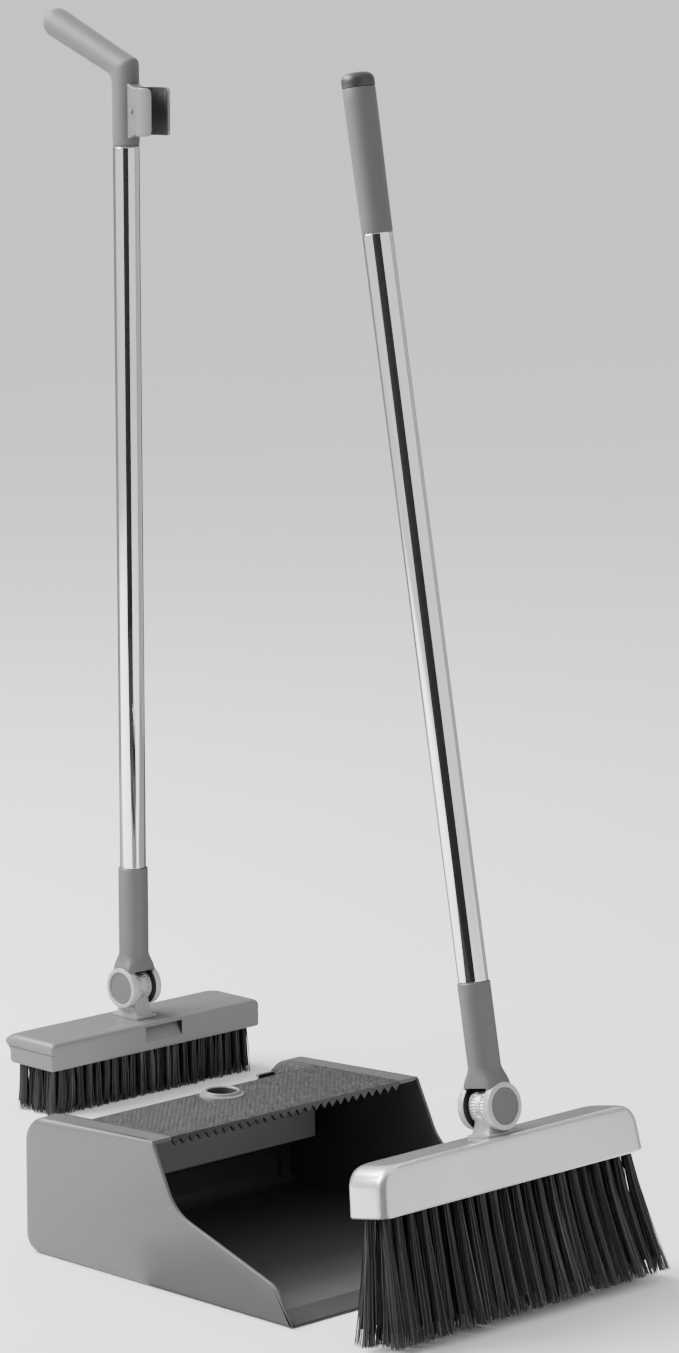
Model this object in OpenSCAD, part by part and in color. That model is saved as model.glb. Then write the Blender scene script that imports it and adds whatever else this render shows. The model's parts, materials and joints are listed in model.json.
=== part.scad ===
// Standing dust pan with a push brush and a broom.
// The pan rests on the floor; both tools stand on their bristles beside it.
// Units are millimetres. +Z is up, the lip of the pan faces -Y, and the
// origin is the middle of the pan's underside.

/* [Poles] */
// Outer diameter of both pole tubes
pole_d = 22; // [18:0.5:27]
// Wall of the pole tubes
pole_wall = 1; // [0.8:0.1:1.5]
// Length of the brush pole between its two plastic ends
brush_pole_l = 602; // [300:2:900]
// Length of the broom pole between its two plastic ends
broom_pole_l = 537; // [300:2:900]
// How far each plastic end is plugged into its tube
spigot_l = 36; // [20:1:60]

/* [Dust pan] */
// Width over the side walls
pan_w = 276; // [230:2:340]
// Depth from the lip to the rear wall
pan_d = 288; // [250:2:350]
// Height of the cover at its front edge
pan_h = 110; // [90:1:140]
// How much lower the cover is at the rear wall
cover_fall = 6; // [0:0.5:12]
// Depth of the covered part, from the rear wall to the comb
cover_d = 142; // [115:1:170]
// Wall of the tub and of the cover
pan_wall = 2.8; // [2:0.1:4]
// Width of the rim that the tub keeps on each side of the cover
rim_w = 20; // [14:1:30]
// Depth of the tray behind the deck, from the rear wall
tray_d = 52; // [35:1:60]
// Height of the underside of the tray above the floor
tray_z = 50; // [35:1:65]
// Width of the rear wall that is left on each side of its notch
ear_w = 38; // [24:1:60]
// Depth of that notch below the top of the rear wall
notch_depth = 22; // [12:1:30]
// Depth of the soft lip strip
lip_d = 30; // [18:1:40]

/* [Comb] */
// Number of comb teeth along the front of the cover
tooth_count = 28; // [16:1:36]
// Length of a comb tooth
tooth_l = 5; // [3:0.5:9]

/* [Handle socket] */
// Width of the collar round the bore
collar_w = 5.85; // [4:0.05:9]
// Depth of the blind bore that a pole end parks in
socket_l = 16; // [15:1:45]
// Radial clearance of a pole in that bore
socket_gap = 0.15; // [0.05:0.05:0.4]

/* [Brush head] */
// Length of the brush head
brush_l = 236; // [180:2:300]
// Width of the brush head
brush_w = 58; // [50:1:80]
// Height of the brush cover
brush_h = 23.5; // [22:0.5:32]
// Free length of the brush bristles
brush_bristle_l = 39.5; // [25:0.5:60]
// Gap between the top of the brush head and the cheeks of its fork
brush_cheek_gap = 8.7; // [6:0.1:16]
// How far the sleeve above the brush pivot stands proud of its tube
brush_sleeve_proud = 1.5; // [1:0.1:4]
// Height of the top of that sleeve above the pivot
brush_sleeve_l = 102; // [60:1:130]

/* [Broom head] */
// Length of the broom head
broom_l = 271; // [200:2:340]
// Width of the broom head
broom_w = 40; // [38:1:60]
// Height of the broom cover
broom_h = 35.5; // [28:0.5:45]
// Free length of the broom bristles
broom_bristle_l = 90; // [50:1:120]
// Gap between the top of the broom head and the cheeks of its fork
broom_cheek_gap = 3.2; // [2.6:0.1:14]
// How far the sleeve above the broom pivot stands proud of its tube
broom_sleeve_proud = 1; // [1:0.1:4]
// Height of the top of that sleeve above the pivot
broom_sleeve_l = 90; // [60:1:130]
// Angle that the broom leans back
broom_lean = 10.3; // [0:0.1:20]

/* [Pivots] */
// How far the round cheeks of a fork stand proud of the barrel
cheek_proud = 4.3; // [3:0.1:7]
// Thickness of a cheek
cheek_t = 6.1; // [4:0.1:8]
// Diameter of the knuckle barrel
barrel_d = 26; // [21:0.5:32]
// Length of the knuckle barrel
barrel_l = 17.6; // [12:0.2:22]
// Diameter of the pivot pin
pin_d = 8; // [5:0.5:10]
// Radial clearance of the pin in the barrel
pin_gap = 0.05; // [0.02:0.01:0.1]
// Thickness of a friction washer
washer_t = 0.8; // [0.5:0.1:1.5]

/* [Grips] */
// How far both grips stand proud of their tubes
grip_proud = 0.3; // [0:0.1:3]
// Height of the elbow above the brush tube
elbow_h = 64; // [58:1:90]
// Length of the sloping part of the elbow grip
elbow_l = 102; // [60:1:130]
// Rise angle of the sloping part
elbow_rise = 22.6; // [0:0.2:60]
// How far the elbow grip swells towards its tip
elbow_swell = 1.1; // [0:0.1:4]
// Length of the broom grip
broom_grip_l = 104; // [70:1:140]
// How far the broom grip swells towards its cap
broom_grip_swell = 0.7; // [0:0.1:4]
// Length of the dark cap on the broom grip
grip_cap_l = 11; // [6:0.5:18]

/* [Pole clip] */
// Height of the clip jaw
clip_h = 39; // [24:1:44]
// Height of the bottom of the clip jaw above the brush tube
clip_z = 10; // [8:1:14]
// Thickness of the soft lining
lining_t = 1; // [0.6:0.1:2]
// Thickness of the jaw
jaw_t = 2; // [1.4:0.1:3]
// Half of the angle that the jaw is open
jaw_open = 48; // [30:1:60]

/* [Layout] */
// Middle of the brush head to the side of the pan
brush_aside = 114; // [60:1:260]
// Middle of the brush head behind the rear wall of the pan
brush_behind = 306; // [200:1:560]
// Middle of the broom across the pan
broom_x = 4; // [-100:1:100]
// Foot of the broom in front of the lip
broom_before = 83; // [71:1:260]

/* [Hidden] */
$fn = 64;

pan_grey = [0.58, 0.56, 0.54];
deck_grey = [0.42, 0.42, 0.42];
dark_grey = [0.16, 0.16, 0.17];
mid_grey = [0.56, 0.56, 0.56];
light_grey = [0.78, 0.78, 0.79];
steel = [0.86, 0.87, 0.88];

// Pan: the rear wall, the front of the cover and the rear edge of the deck
rear = pan_d / 2;
front = -pan_d / 2;
cover_front = rear - cover_d;
deck_rear = rear - tray_d;
rear_low_r = 14;
rear_top_r = 21;
side_edge_r = 5;
opening_w = pan_w - 2 * rim_w;
notch_w = pan_w - 2 * ear_w;
inside_w = pan_w - 2 * pan_wall;
scoop_run = 24;
scoop_z = 62;
scoop_r = 36;
nose_run = 15;
nose_z = 27;
nose_r = 19;
lip_seat = 1.2;
lip_edge = 2;
rib_t = 2.4;
rib_d = 5;
rib_h = 26;

// Handle socket
socket_r = pole_d / 2 + socket_gap;
collar_r = socket_r + collar_w;
collar_rise = 4;
collar_sink = 10;
socket_wall = 2.4;
socket_y = deck_rear - collar_r - 1;

// Plastic ends of the poles
grip_d = pole_d + 2 * grip_proud;
elbow_tip_d = grip_d + 2 * elbow_swell;
broom_grip_d = grip_d + 2 * broom_grip_swell;
brush_sleeve_d = pole_d + 2 * brush_sleeve_proud;
broom_sleeve_d = pole_d + 2 * broom_sleeve_proud;

// Pivots
cheek_d = barrel_d + 2 * cheek_proud;
brush_pivot_h = cheek_d / 2 + brush_cheek_gap;
broom_pivot_h = cheek_d / 2 + broom_cheek_gap;
cheek_in = barrel_l / 2 + 0.3 + washer_t;
cheek_out = cheek_in + cheek_t;
web_r = barrel_d / 2 + 1.6;
shoulder_top = web_r + 14;
cap_r = cheek_d / 2 - 4;
cap_sink = 1.6;
cap_t = 1.2;
foot_t = 2;
foot_l = 32;
foot_w = barrel_l + 6;
screw_r = 1.5;
screw_head_r = 3;
screw_head_t = 1.8;
screw_grip = 8;
screw_off = 9.5;

// Heads: walls, and the board that holds the tufts
head_wall = 3;
board_t = 5;
board_sink = 0.5;
board_gap = 0.2;
bristle_inset = 1.2;
slot_w = 41;
slot_x = 7;
slot_depth = 8;
slot_wall = 1.6;
slot_roof = 3.4;
slot_h = brush_h - board_sink - board_t - slot_wall - slot_roof;

brush_x = pan_w / 2 + brush_aside;
brush_y = rear + brush_behind;
brush_top = brush_bristle_l + brush_h;
brush_pivot_z = brush_top + brush_pivot_h;
brush_tube_z = brush_pivot_z + brush_sleeve_l;
brush_grip_z = brush_tube_z + brush_pole_l;

broom_y = front - broom_before;
broom_top = broom_bristle_l + broom_h;
broom_pivot_z = broom_top + broom_pivot_h;
broom_tube_z = broom_pivot_z + broom_sleeve_l;
broom_grip_z = broom_tube_z + broom_pole_l;
broom_flare = 8;
broom_spread = broom_w / 2 + 7;
floor_trim = 1;
broom_lift = broom_spread * sin(broom_lean) - floor_trim;

// Clip
jaw_r = pole_d / 2 + lining_t + jaw_t;
jaw_y = -(grip_d / 2 + 7.5 + jaw_r);
saddle_w = 13;
rivet_r = 2;
rivet_y = -(grip_d / 2 + 2.6);

// ---- Helpers ----

function unit(v) = v / norm(v);

// Points of the arc of radius r that rounds the corner b between a and c
function corner(a, b, c, r, n = 7) =
    let (u = unit(a - b), w = unit(c - b), half = acos(u * w) / 2,
         centre = b + unit(u + w) * r / sin(half),
         from = b + u * r / tan(half) - centre, to = b + w * r / tan(half) - centre,
         start = atan2(from.y, from.x),
         turn = (atan2(to.y, to.x) - start + 540) % 360 - 180)
    [for (i = [0:n]) centre + r * [cos(start + turn * i / n), sin(start + turn * i / n)]];

// An outline from corners given as [x, y, radius]
function rounded(pts) =
    [for (i = [0:len(pts) - 1])
        let (k = len(pts), a = pts[(i + k - 1) % k], b = pts[i], c = pts[(i + 1) % k])
        each b[2] > 0 ? corner([a.x, a.y], [b.x, b.y], [c.x, c.y], b[2]) : [[b.x, b.y]]];

function box_outline(x0, y0, x1, y1, low_r, high_r) =
    rounded([[x0, y0, low_r], [x1, y0, low_r], [x1, y1, high_r], [x0, y1, high_r]]);

// Extrudes an outline drawn in Y and Z along X, centred
module along_x(w) {
    rotate([90, 0, 90]) translate([0, 0, -w / 2]) linear_extrude(w) children();
}

// Extrudes an outline drawn in X and Z along Y, centred
module along_y(w) {
    rotate([90, 0, 0]) translate([0, 0, -w / 2]) linear_extrude(w) children();
}

// A straight tube or rod along X between two places
module rod_x(r, x0, x1) {
    translate([x0, 0, 0]) rotate([0, 90, 0]) cylinder(r = r, h = x1 - x0);
}

module brush_place() {
    translate([brush_x, brush_y, 0]) children();
}

module broom_place() {
    translate([broom_x, broom_y, broom_lift]) rotate([-broom_lean, 0, 0]) children();
}

module brush_pivot() {
    brush_place() translate([0, 0, brush_pivot_z]) children();
}

// The broom's pivot axis runs front to back, so the joint is turned a quarter
module broom_pivot() {
    broom_place() translate([0, 0, broom_pivot_z]) rotate([0, 0, 90]) children();
}

// ---- Dust pan ----

// Height of the top of the cover at a place front to back
function cover_z(y) = pan_h - cover_fall * (y - cover_front) / cover_d;

notch_z = cover_z(rear) - notch_depth;
notch_r = min(9, notch_depth / 2 - 0.5);

function side_outline() = rounded([
    [rear, 0, rear_low_r],
    [rear, cover_z(rear), rear_top_r],
    [cover_front, pan_h, 4],
    [cover_front - scoop_run, scoop_z, scoop_r],
    [front + nose_run, nose_z, nose_r],
    [front, 0, 0.8]
]);

module pan_tub() color(pan_grey) {
    inner_r = rear_low_r - pan_wall;
    difference() {
        intersection() {
            along_x(pan_w) polygon(side_outline());
            along_y(pan_d + 2)
                polygon(box_outline(-pan_w / 2, 0, pan_w / 2, pan_h, 2, side_edge_r));
            linear_extrude(pan_h + 1)
                polygon(box_outline(-pan_w / 2, front, pan_w / 2, rear, 2, side_edge_r));
        }
        // Bin, open at the front
        along_x(inside_w) polygon(rounded([
            [front - 9, pan_wall, 0],
            [rear - pan_wall, pan_wall, inner_r],
            [rear - pan_wall, cover_z(rear) - pan_wall, rear_top_r - pan_wall],
            [front - 9, cover_z(front - 9) - pan_wall, 0]
        ]));
        // Seat of the lip strip
        translate([-inside_w / 2, front - 9, lip_seat]) cube([inside_w, lip_d + 9, pan_wall]);
        // Opening that the cover fills
        translate([-opening_w / 2, cover_front - 9, tray_z])
            cube([opening_w, cover_d + 9 - pan_wall, pan_h]);
        // Notch in the rear wall
        translate([0, rear, 0]) along_y(4 * pan_wall) polygon(rounded([
            [-pan_w / 2 + 1, pan_h + 9, 0],
            [-pan_w / 2 + 1, cover_z(rear), 0],
            [-notch_w / 2, cover_z(rear), notch_r],
            [-notch_w / 2, notch_z, notch_r],
            [notch_w / 2, notch_z, notch_r],
            [notch_w / 2, cover_z(rear), notch_r],
            [pan_w / 2 - 1, cover_z(rear), 0],
            [pan_w / 2 - 1, pan_h + 9, 0]
        ]));
    }
    // Stiffening ribs inside the rear wall
    for (side = [-1, 1])
        translate([side * (inside_w / 2 - 12) - rib_t / 2, rear - pan_wall - rib_d, pan_wall - 0.5])
            cube([rib_t, rib_d + 0.5, rib_h]);
}

// Flat comb: a row of pointed teeth on a narrow root, which hangs from the edge of the deck
module comb(w, count, length, root) {
    pitch = w / count;
    polygon(concat(
        [[-w / 2, root]],
        [for (i = [0:count - 1]) each
            [[-w / 2 + i * pitch, 0], [-w / 2 + (i + 0.5) * pitch, -length]]],
        [[w / 2, 0], [w / 2, root]]
    ));
}

module pan_cover() color(deck_grey) {
    difference() {
        union() {
            intersection() {
                union() {
                    // Deck
                    along_x(opening_w) polygon([
                        [cover_front, cover_z(cover_front) - pan_wall],
                        [deck_rear + 1, cover_z(deck_rear + 1) - pan_wall],
                        [deck_rear + 1, cover_z(deck_rear + 1)],
                        [cover_front, cover_z(cover_front)]
                    ]);
                    // Front wall and floor of the tray
                    translate([-opening_w / 2, deck_rear, tray_z])
                        cube([opening_w, pan_wall, cover_z(deck_rear) - tray_z - 1]);
                    translate([-opening_w / 2, deck_rear, tray_z])
                        cube([opening_w, tray_d - pan_wall, pan_wall]);
                    // Ends of the tray
                    for (side = [-1, 1])
                        translate([side * (opening_w - pan_wall) / 2, 0, 0])
                            along_x(pan_wall) polygon([
                                [deck_rear, tray_z],
                                [rear - pan_wall, tray_z],
                                [rear - pan_wall, cover_z(rear - pan_wall)],
                                [deck_rear, cover_z(deck_rear)]
                            ]);
                }
                along_x(pan_w) polygon(side_outline());
            }
            translate([0, cover_front + pan_wall, pan_h - pan_wall]) rotate([90, 0, 0])
                linear_extrude(pan_wall) comb(opening_w, tooth_count, tooth_l, pan_wall - 1);
        }
        translate([0, socket_y, cover_z(socket_y) - collar_sink])
            cylinder(r = collar_r, h = 2 * collar_sink);
    }
}

module pan_lip() color(dark_grey) {
    along_x(inside_w) polygon([
        [front + lip_d, lip_seat],
        [front + lip_d, pan_wall + 0.6],
        [front + 1.6, lip_edge],
        [front + 0.8, lip_seat]
    ]);
}

// Collar on the deck, with a blind bore that a pole stands in
module handle_socket() color(mid_grey) {
    top = cover_z(socket_y) + collar_rise;
    tube_r = socket_r + socket_wall;
    translate([0, socket_y, top]) rotate_extrude() polygon([
        [0, -socket_l - socket_wall], [tube_r, -socket_l - socket_wall],
        [tube_r, -collar_rise - collar_sink], [collar_r, -collar_rise - collar_sink],
        [collar_r, -2], [collar_r - 1.6, 0],
        [socket_r + 1.6, 0], [socket_r, -1.6],
        [socket_r, -socket_l], [0, -socket_l]
    ]);
}

// ---- Pivot shared by both tools: the axis is X and the pole goes up ----

// Barrel on a neck that widens to a foot on top of the head
module knuckle(height) difference() {
    neck_top = barrel_d / 2 - 3.5;
    union() {
        rod_x(barrel_d / 2, -barrel_l / 2, barrel_l / 2);
        along_x(barrel_l) polygon([
            [-14, -height + foot_t - 0.5], [14, -height + foot_t - 0.5],
            [neck_top, -7], [-neck_top, -7]
        ]);
        translate([0, 0, -height]) linear_extrude(foot_t)
            polygon(box_outline(-foot_w / 2, -foot_l / 2, foot_w / 2, foot_l / 2, 4, 4));
    }
    rod_x(pin_d / 2 + pin_gap, -barrel_l, barrel_l);
    for (y = [-screw_off, screw_off])
        translate([0, y, -height - 1]) cylinder(r = screw_r, h = screw_grip + 1);
}

// Screws that hold the foot from inside the head
module foot_screws(height) {
    for (y = [-screw_off, screw_off]) translate([0, y, -height - head_wall]) {
        cylinder(r = screw_r, h = head_wall + screw_grip - 0.5);
        translate([0, 0, -screw_head_t]) cylinder(r = screw_head_r, h = screw_head_t);
    }
}

// Clearance holes for those screws in the top of a head
module screw_holes(height) {
    for (y = [-screw_off, screw_off])
        translate([0, y, -height - head_wall - 1])
            cylinder(r = screw_r + 0.3, h = head_wall + 2);
}

// Two round cheeks, a shoulder, a sleeve and the spigot inside the tube
module fork(sleeve_d, sleeve_l) difference() {
    union() {
        for (side = [-1, 1])
            rod_x(cheek_d / 2, min(side * cheek_in, side * cheek_out),
                  max(side * cheek_in, side * cheek_out));
        intersection() {
            along_x(2 * cheek_out) polygon([
                [-cheek_d / 2 + 1.4, 4], [cheek_d / 2 - 1.4, 4],
                [sleeve_d / 2, shoulder_top], [-sleeve_d / 2, shoulder_top]
            ]);
            union() {
                cylinder(r = cheek_out + 4.5, h = web_r);
                translate([0, 0, web_r])
                    cylinder(r1 = cheek_out + 4.5, r2 = sleeve_d / 2, h = shoulder_top - web_r);
            }
        }
        translate([0, 0, web_r]) cylinder(d = sleeve_d, h = sleeve_l - web_r);
        cylinder(r = pole_d / 2 - pole_wall, h = sleeve_l + spigot_l);
    }
    // Room between the cheeks, so that the web clears the neck at a quarter turn
    translate([-cheek_in, -cheek_d, -cheek_d]) cube([2 * cheek_in, 2 * cheek_d, cheek_d + web_r]);
    rod_x(pin_d / 2, -cheek_out - 1, cheek_out + 1);
    rod_x(cap_r, cheek_out - cap_sink, cheek_out + 1);
    rod_x(cap_r, -cheek_out - 1, -cheek_out + cap_sink);
}

module pivot_pin() {
    rod_x(pin_d / 2, -cheek_out + cap_sink, cheek_out - cap_sink);
}

// Cap let into the outer face of one cheek, on side -1 or 1
module pivot_cap(side) {
    inner = cheek_out - cap_sink;
    rod_x(cap_r, min(side * inner, side * (inner + cap_t)), max(side * inner, side * (inner + cap_t)));
}

module friction_washers() {
    for (side = [-1, 1]) difference() {
        rod_x(barrel_d / 2 - 1, min(side * cheek_in, side * (cheek_in - washer_t)),
              max(side * cheek_in, side * (cheek_in - washer_t)));
        rod_x(pin_d / 2 + 0.1, -cheek_out, cheek_out);
    }
}

module pole(length) {
    difference() {
        cylinder(d = pole_d, h = length);
        translate([0, 0, -1]) cylinder(r = pole_d / 2 - pole_wall, h = length + 2);
    }
}

// ---- Brush ----

module brush_outer() intersection() {
    z0 = brush_bristle_l;
    half = brush_w / 2;
    along_x(brush_l) polygon(rounded([
        [-half, z0, 1], [half, z0, 1], [half, z0 + brush_h - 14, 3],
        [half + 7, brush_top - 8, 5], [half - 4, brush_top, 8], [-half, brush_top, 4]
    ]));
    along_y(3 * brush_w) polygon(box_outline(-brush_l / 2, z0, brush_l / 2, brush_top, 3, 6));
    linear_extrude(brush_top + 1)
        polygon(box_outline(-brush_l / 2, -half, brush_l / 2, half + 7, 2.5, 10));
}

module brush_shell() color(mid_grey) brush_place() {
    z0 = brush_bristle_l;
    slot_z = z0 + board_sink + board_t + slot_wall;
    inner_l = brush_l - 2 * head_wall;
    inner_w = brush_w - 2 * head_wall;
    difference() {
        brush_outer();
        // Hollow, with a box left round the finger slot
        difference() {
            translate([-inner_l / 2, -inner_w / 2, z0 - 1])
                cube([inner_l, inner_w, brush_h + 1 - head_wall]);
            translate([slot_x - slot_w / 2 - slot_wall, -brush_w / 2, slot_z - slot_wall])
                cube([slot_w + 2 * slot_wall, slot_depth + slot_wall, brush_h]);
        }
        translate([slot_x - slot_w / 2, -brush_w / 2 - 1, slot_z])
            cube([slot_w, slot_depth + 1, slot_h]);
        // Groove round each end
        for (side = [-1, 1])
            translate([side * brush_l / 2 - 0.8, -brush_w / 2 + 4, brush_top - 10.5])
                cube([1.6, brush_w, 1]);
        translate([0, 0, brush_pivot_z]) screw_holes(brush_pivot_h);
    }
}

module brush_board() color(dark_grey) brush_place() {
    w = brush_w - 2 * (head_wall + board_gap);
    translate([0, 0, brush_bristle_l + board_sink]) linear_extrude(board_t - board_gap)
        square([brush_l - 2 * (head_wall + board_gap), w], center = true);
}

module brush_bristles() color(dark_grey) brush_place() {
    linear_extrude(brush_bristle_l + board_sink)
        square([brush_l - 2 * (head_wall + bristle_inset), brush_w - 2 * (head_wall + bristle_inset)],
               center = true);
}

module brush_knuckle() color(light_grey) brush_pivot() knuckle(brush_pivot_h);

module brush_screws() color(steel) brush_pivot() foot_screws(brush_pivot_h);

module brush_fork() color(mid_grey) brush_pivot() fork(brush_sleeve_d, brush_sleeve_l);

module brush_pivot_pin() color(steel) brush_pivot() pivot_pin();

module brush_washers() color(dark_grey) brush_pivot() friction_washers();

module brush_left_cap() color(mid_grey) brush_pivot() pivot_cap(-1);

module brush_right_cap() color(mid_grey) brush_pivot() pivot_cap(1);

module brush_pole() color(steel) brush_place() translate([0, 0, brush_tube_z]) pole(brush_pole_l);

// Grip that turns rearwards at an elbow and ends in a round tip
module brush_grip() color(mid_grey) brush_place() translate([0, 0, brush_grip_z]) {
    translate([0, 0, -spigot_l]) cylinder(r = pole_d / 2 - pole_wall, h = spigot_l + 1);
    cylinder(d = grip_d, h = elbow_h);
    translate([0, 0, elbow_h]) {
        sphere(d = grip_d);
        rotate([-90 + elbow_rise, 0, 0]) {
            cylinder(d1 = grip_d - 1, d2 = elbow_tip_d, h = elbow_l - elbow_tip_d / 2);
            translate([0, 0, elbow_l - elbow_tip_d / 2]) sphere(d = elbow_tip_d);
        }
    }
}

// Plan of everything in front of the jaw centre that its mouth leaves open
module jaw_mouth() {
    reach = 2 * jaw_r;
    polygon([[0, 0], [-reach * tan(jaw_open), -reach], [reach * tan(jaw_open), -reach]]);
}

// Holes for the rivets in the sides of the saddle
module rivet_pair(x0, x1) {
    for (side = [-1, 1])
        translate([0, rivet_y, clip_z + clip_h / 2])
            rod_x(rivet_r, min(side * x0, side * x1), max(side * x0, side * x1));
}

module pole_clip() color(light_grey) brush_place() translate([0, 0, brush_grip_z]) difference() {
    union() {
        translate([0, jaw_y, clip_z]) cylinder(r = jaw_r, h = clip_h);
        along_x(saddle_w) polygon([
            [jaw_y, clip_z], [-grip_d / 2 - 6, clip_z - 1.5], [-grip_d / 4, clip_z - 7],
            [-grip_d / 4, clip_z + clip_h + 6], [-grip_d / 2 - 6, clip_z + clip_h + 1],
            [jaw_y, clip_z + clip_h]
        ]);
    }
    cylinder(d = grip_d, h = elbow_h);
    translate([0, jaw_y, -1]) cylinder(r = jaw_r - jaw_t, h = elbow_h);
    translate([0, jaw_y, -1]) linear_extrude(elbow_h) jaw_mouth();
    rivet_pair(saddle_w / 2 - 1.6, saddle_w);
}

module clip_lining() color(dark_grey) brush_place()
    translate([0, jaw_y, brush_grip_z + clip_z]) difference() {
        cylinder(r = jaw_r - jaw_t, h = clip_h);
        translate([0, 0, -1]) cylinder(d = pole_d, h = clip_h + 2);
        translate([0, 0, -1]) linear_extrude(clip_h + 2) jaw_mouth();
    }

module clip_rivets() color(light_grey) brush_place() translate([0, 0, brush_grip_z])
    rivet_pair(saddle_w / 2 - 1.6, saddle_w / 2 + 1.8);

// ---- Broom ----

module broom_shell() color(light_grey) broom_place() {
    z0 = broom_bristle_l;
    half = broom_l / 2;
    difference() {
        intersection() {
            along_y(broom_w) polygon(rounded([
                [-half, z0, 1.5], [half, z0, 1.5], [half - 4, broom_top, 15], [-half + 4, broom_top, 15]
            ]));
            along_x(broom_l) polygon(box_outline(-broom_w / 2, z0, broom_w / 2, broom_top, 1.5, 6));
            linear_extrude(broom_top + 1)
                polygon(box_outline(-half, -broom_w / 2, half, broom_w / 2, 4, 4));
        }
        along_y(broom_w - 2 * head_wall) polygon(rounded([
            [-half + head_wall, z0 - 1, 0], [half - head_wall, z0 - 1, 0],
            [half - 4 - head_wall, broom_top - head_wall, 12],
            [-half + 4 + head_wall, broom_top - head_wall, 12]
        ]));
        translate([0, 0, broom_pivot_z]) rotate([0, 0, 90]) screw_holes(broom_pivot_h);
    }
}

module broom_board() color(dark_grey) broom_place() {
    translate([0, 0, broom_bristle_l + board_sink]) linear_extrude(board_t)
        square([broom_l - 2 * (head_wall + board_gap) - 1.2, broom_w - 2 * (head_wall + board_gap)],
               center = true);
}

// Flared bundle, wider and longer at the floor, with its rear edge flat on it
module broom_bristles() color(dark_grey) intersection() {
    broom_place() hull() {
        translate([0, 0, broom_bristle_l + board_sink - 1]) linear_extrude(1)
            square([broom_l - 2 * (head_wall + bristle_inset), broom_w - 2 * (head_wall + bristle_inset)],
                   center = true);
        linear_extrude(1) square([broom_l + 2 * broom_flare, 2 * broom_spread], center = true);
    }
    translate([broom_x - broom_l, broom_y - broom_l, 0])
        cube([2 * broom_l, 2 * broom_l, 2 * broom_bristle_l]);
}

module broom_knuckle() color(light_grey) broom_pivot() knuckle(broom_pivot_h);

module broom_screws() color(steel) broom_pivot() foot_screws(broom_pivot_h);

module broom_fork() color(mid_grey) broom_pivot() fork(broom_sleeve_d, broom_sleeve_l);

module broom_pivot_pin() color(steel) broom_pivot() pivot_pin();

module broom_washers() color(dark_grey) broom_pivot() friction_washers();

module broom_front_cap() color(mid_grey) broom_pivot() pivot_cap(-1);

module broom_rear_cap() color(mid_grey) broom_pivot() pivot_cap(1);

module broom_pole() color(steel) broom_place() translate([0, 0, broom_tube_z]) pole(broom_pole_l);

module broom_grip() color(mid_grey) broom_place() translate([0, 0, broom_grip_z]) {
    translate([0, 0, -spigot_l]) cylinder(r = pole_d / 2 - pole_wall, h = spigot_l + 1);
    cylinder(d1 = grip_d, d2 = broom_grip_d, h = broom_grip_l);
}

// Low dome on a short skirt
module broom_grip_cap() color(dark_grey) broom_place()
    translate([0, 0, broom_grip_z + broom_grip_l]) {
        dome_h = 5;
        skirt = grip_cap_l - dome_h;
        r = broom_grip_d / 2;
        dome_r = (r * r + dome_h * dome_h) / (2 * dome_h);
        cylinder(r = r, h = skirt);
        intersection() {
            translate([0, 0, skirt - 1]) cylinder(r = r, h = dome_h + 1);
            translate([0, 0, grip_cap_l - dome_r]) sphere(r = dome_r);
        }
    }

pan_tub();
pan_cover();
pan_lip();
handle_socket();
brush_shell();
brush_board();
brush_bristles();
brush_knuckle();
brush_screws();
brush_fork();
brush_pivot_pin();
brush_washers();
brush_left_cap();
brush_right_cap();
brush_pole();
brush_grip();
pole_clip();
clip_lining();
clip_rivets();
broom_shell();
broom_board();
broom_bristles();
broom_knuckle();
broom_screws();
broom_fork();
broom_pivot_pin();
broom_washers();
broom_front_cap();
broom_rear_cap();
broom_pole();
broom_grip();
broom_grip_cap();
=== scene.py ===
# %% [markdown]
# # Dust pan, push brush and broom
# A lesson in building hard plastic, mirror metal and bristles in Blender around a finished
# CAD part. The CAD part gives every size and place. What we add here is what the eye wants:
# rounded edges, a grained deck, thousands of filaments and finishes with some life in them.

# %% Load the frame
import json
import math

import bmesh
import bpy
import numpy as np
from mathutils import Euler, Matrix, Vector


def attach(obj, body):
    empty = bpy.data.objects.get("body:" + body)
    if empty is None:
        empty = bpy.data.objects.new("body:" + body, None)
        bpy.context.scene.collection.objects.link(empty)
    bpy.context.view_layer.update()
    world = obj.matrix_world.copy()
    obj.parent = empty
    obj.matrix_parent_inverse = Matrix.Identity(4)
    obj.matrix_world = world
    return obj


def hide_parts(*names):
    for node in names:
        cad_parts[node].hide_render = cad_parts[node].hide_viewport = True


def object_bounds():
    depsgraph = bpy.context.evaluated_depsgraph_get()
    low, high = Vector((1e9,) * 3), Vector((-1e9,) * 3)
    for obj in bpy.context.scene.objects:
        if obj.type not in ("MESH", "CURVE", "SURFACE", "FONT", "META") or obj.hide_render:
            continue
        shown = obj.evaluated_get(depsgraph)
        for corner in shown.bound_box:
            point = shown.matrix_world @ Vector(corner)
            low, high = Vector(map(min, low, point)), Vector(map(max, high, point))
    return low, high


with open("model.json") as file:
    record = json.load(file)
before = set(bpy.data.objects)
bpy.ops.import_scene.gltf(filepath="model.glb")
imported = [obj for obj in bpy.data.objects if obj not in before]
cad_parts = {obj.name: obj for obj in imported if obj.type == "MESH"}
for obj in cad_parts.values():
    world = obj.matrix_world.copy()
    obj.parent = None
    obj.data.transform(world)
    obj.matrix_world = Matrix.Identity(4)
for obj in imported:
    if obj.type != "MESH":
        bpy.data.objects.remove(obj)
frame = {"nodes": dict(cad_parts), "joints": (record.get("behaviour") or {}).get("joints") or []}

cad_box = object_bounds()
print("CAD box", [round(v, 3) for corner in cad_box for v in corner])

# %% [markdown]
# ## The camera
# A product picture is taken from far away with a long lens, so that the poles stay parallel.
# The camera stands low, a little above the pan, and looks at its left front corner.

# %% Camera
MM = 0.001
AIM = Vector((51.6, -0.9, 429.5)) * MM
CAMERA_AZIMUTH = math.radians(-44.56)
CAMERA_HEIGHT = math.radians(9.48)
CAMERA_FAR = 3.699
CAMERA_ROLL = math.radians(-0.15)
LENS = 133.0

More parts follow.
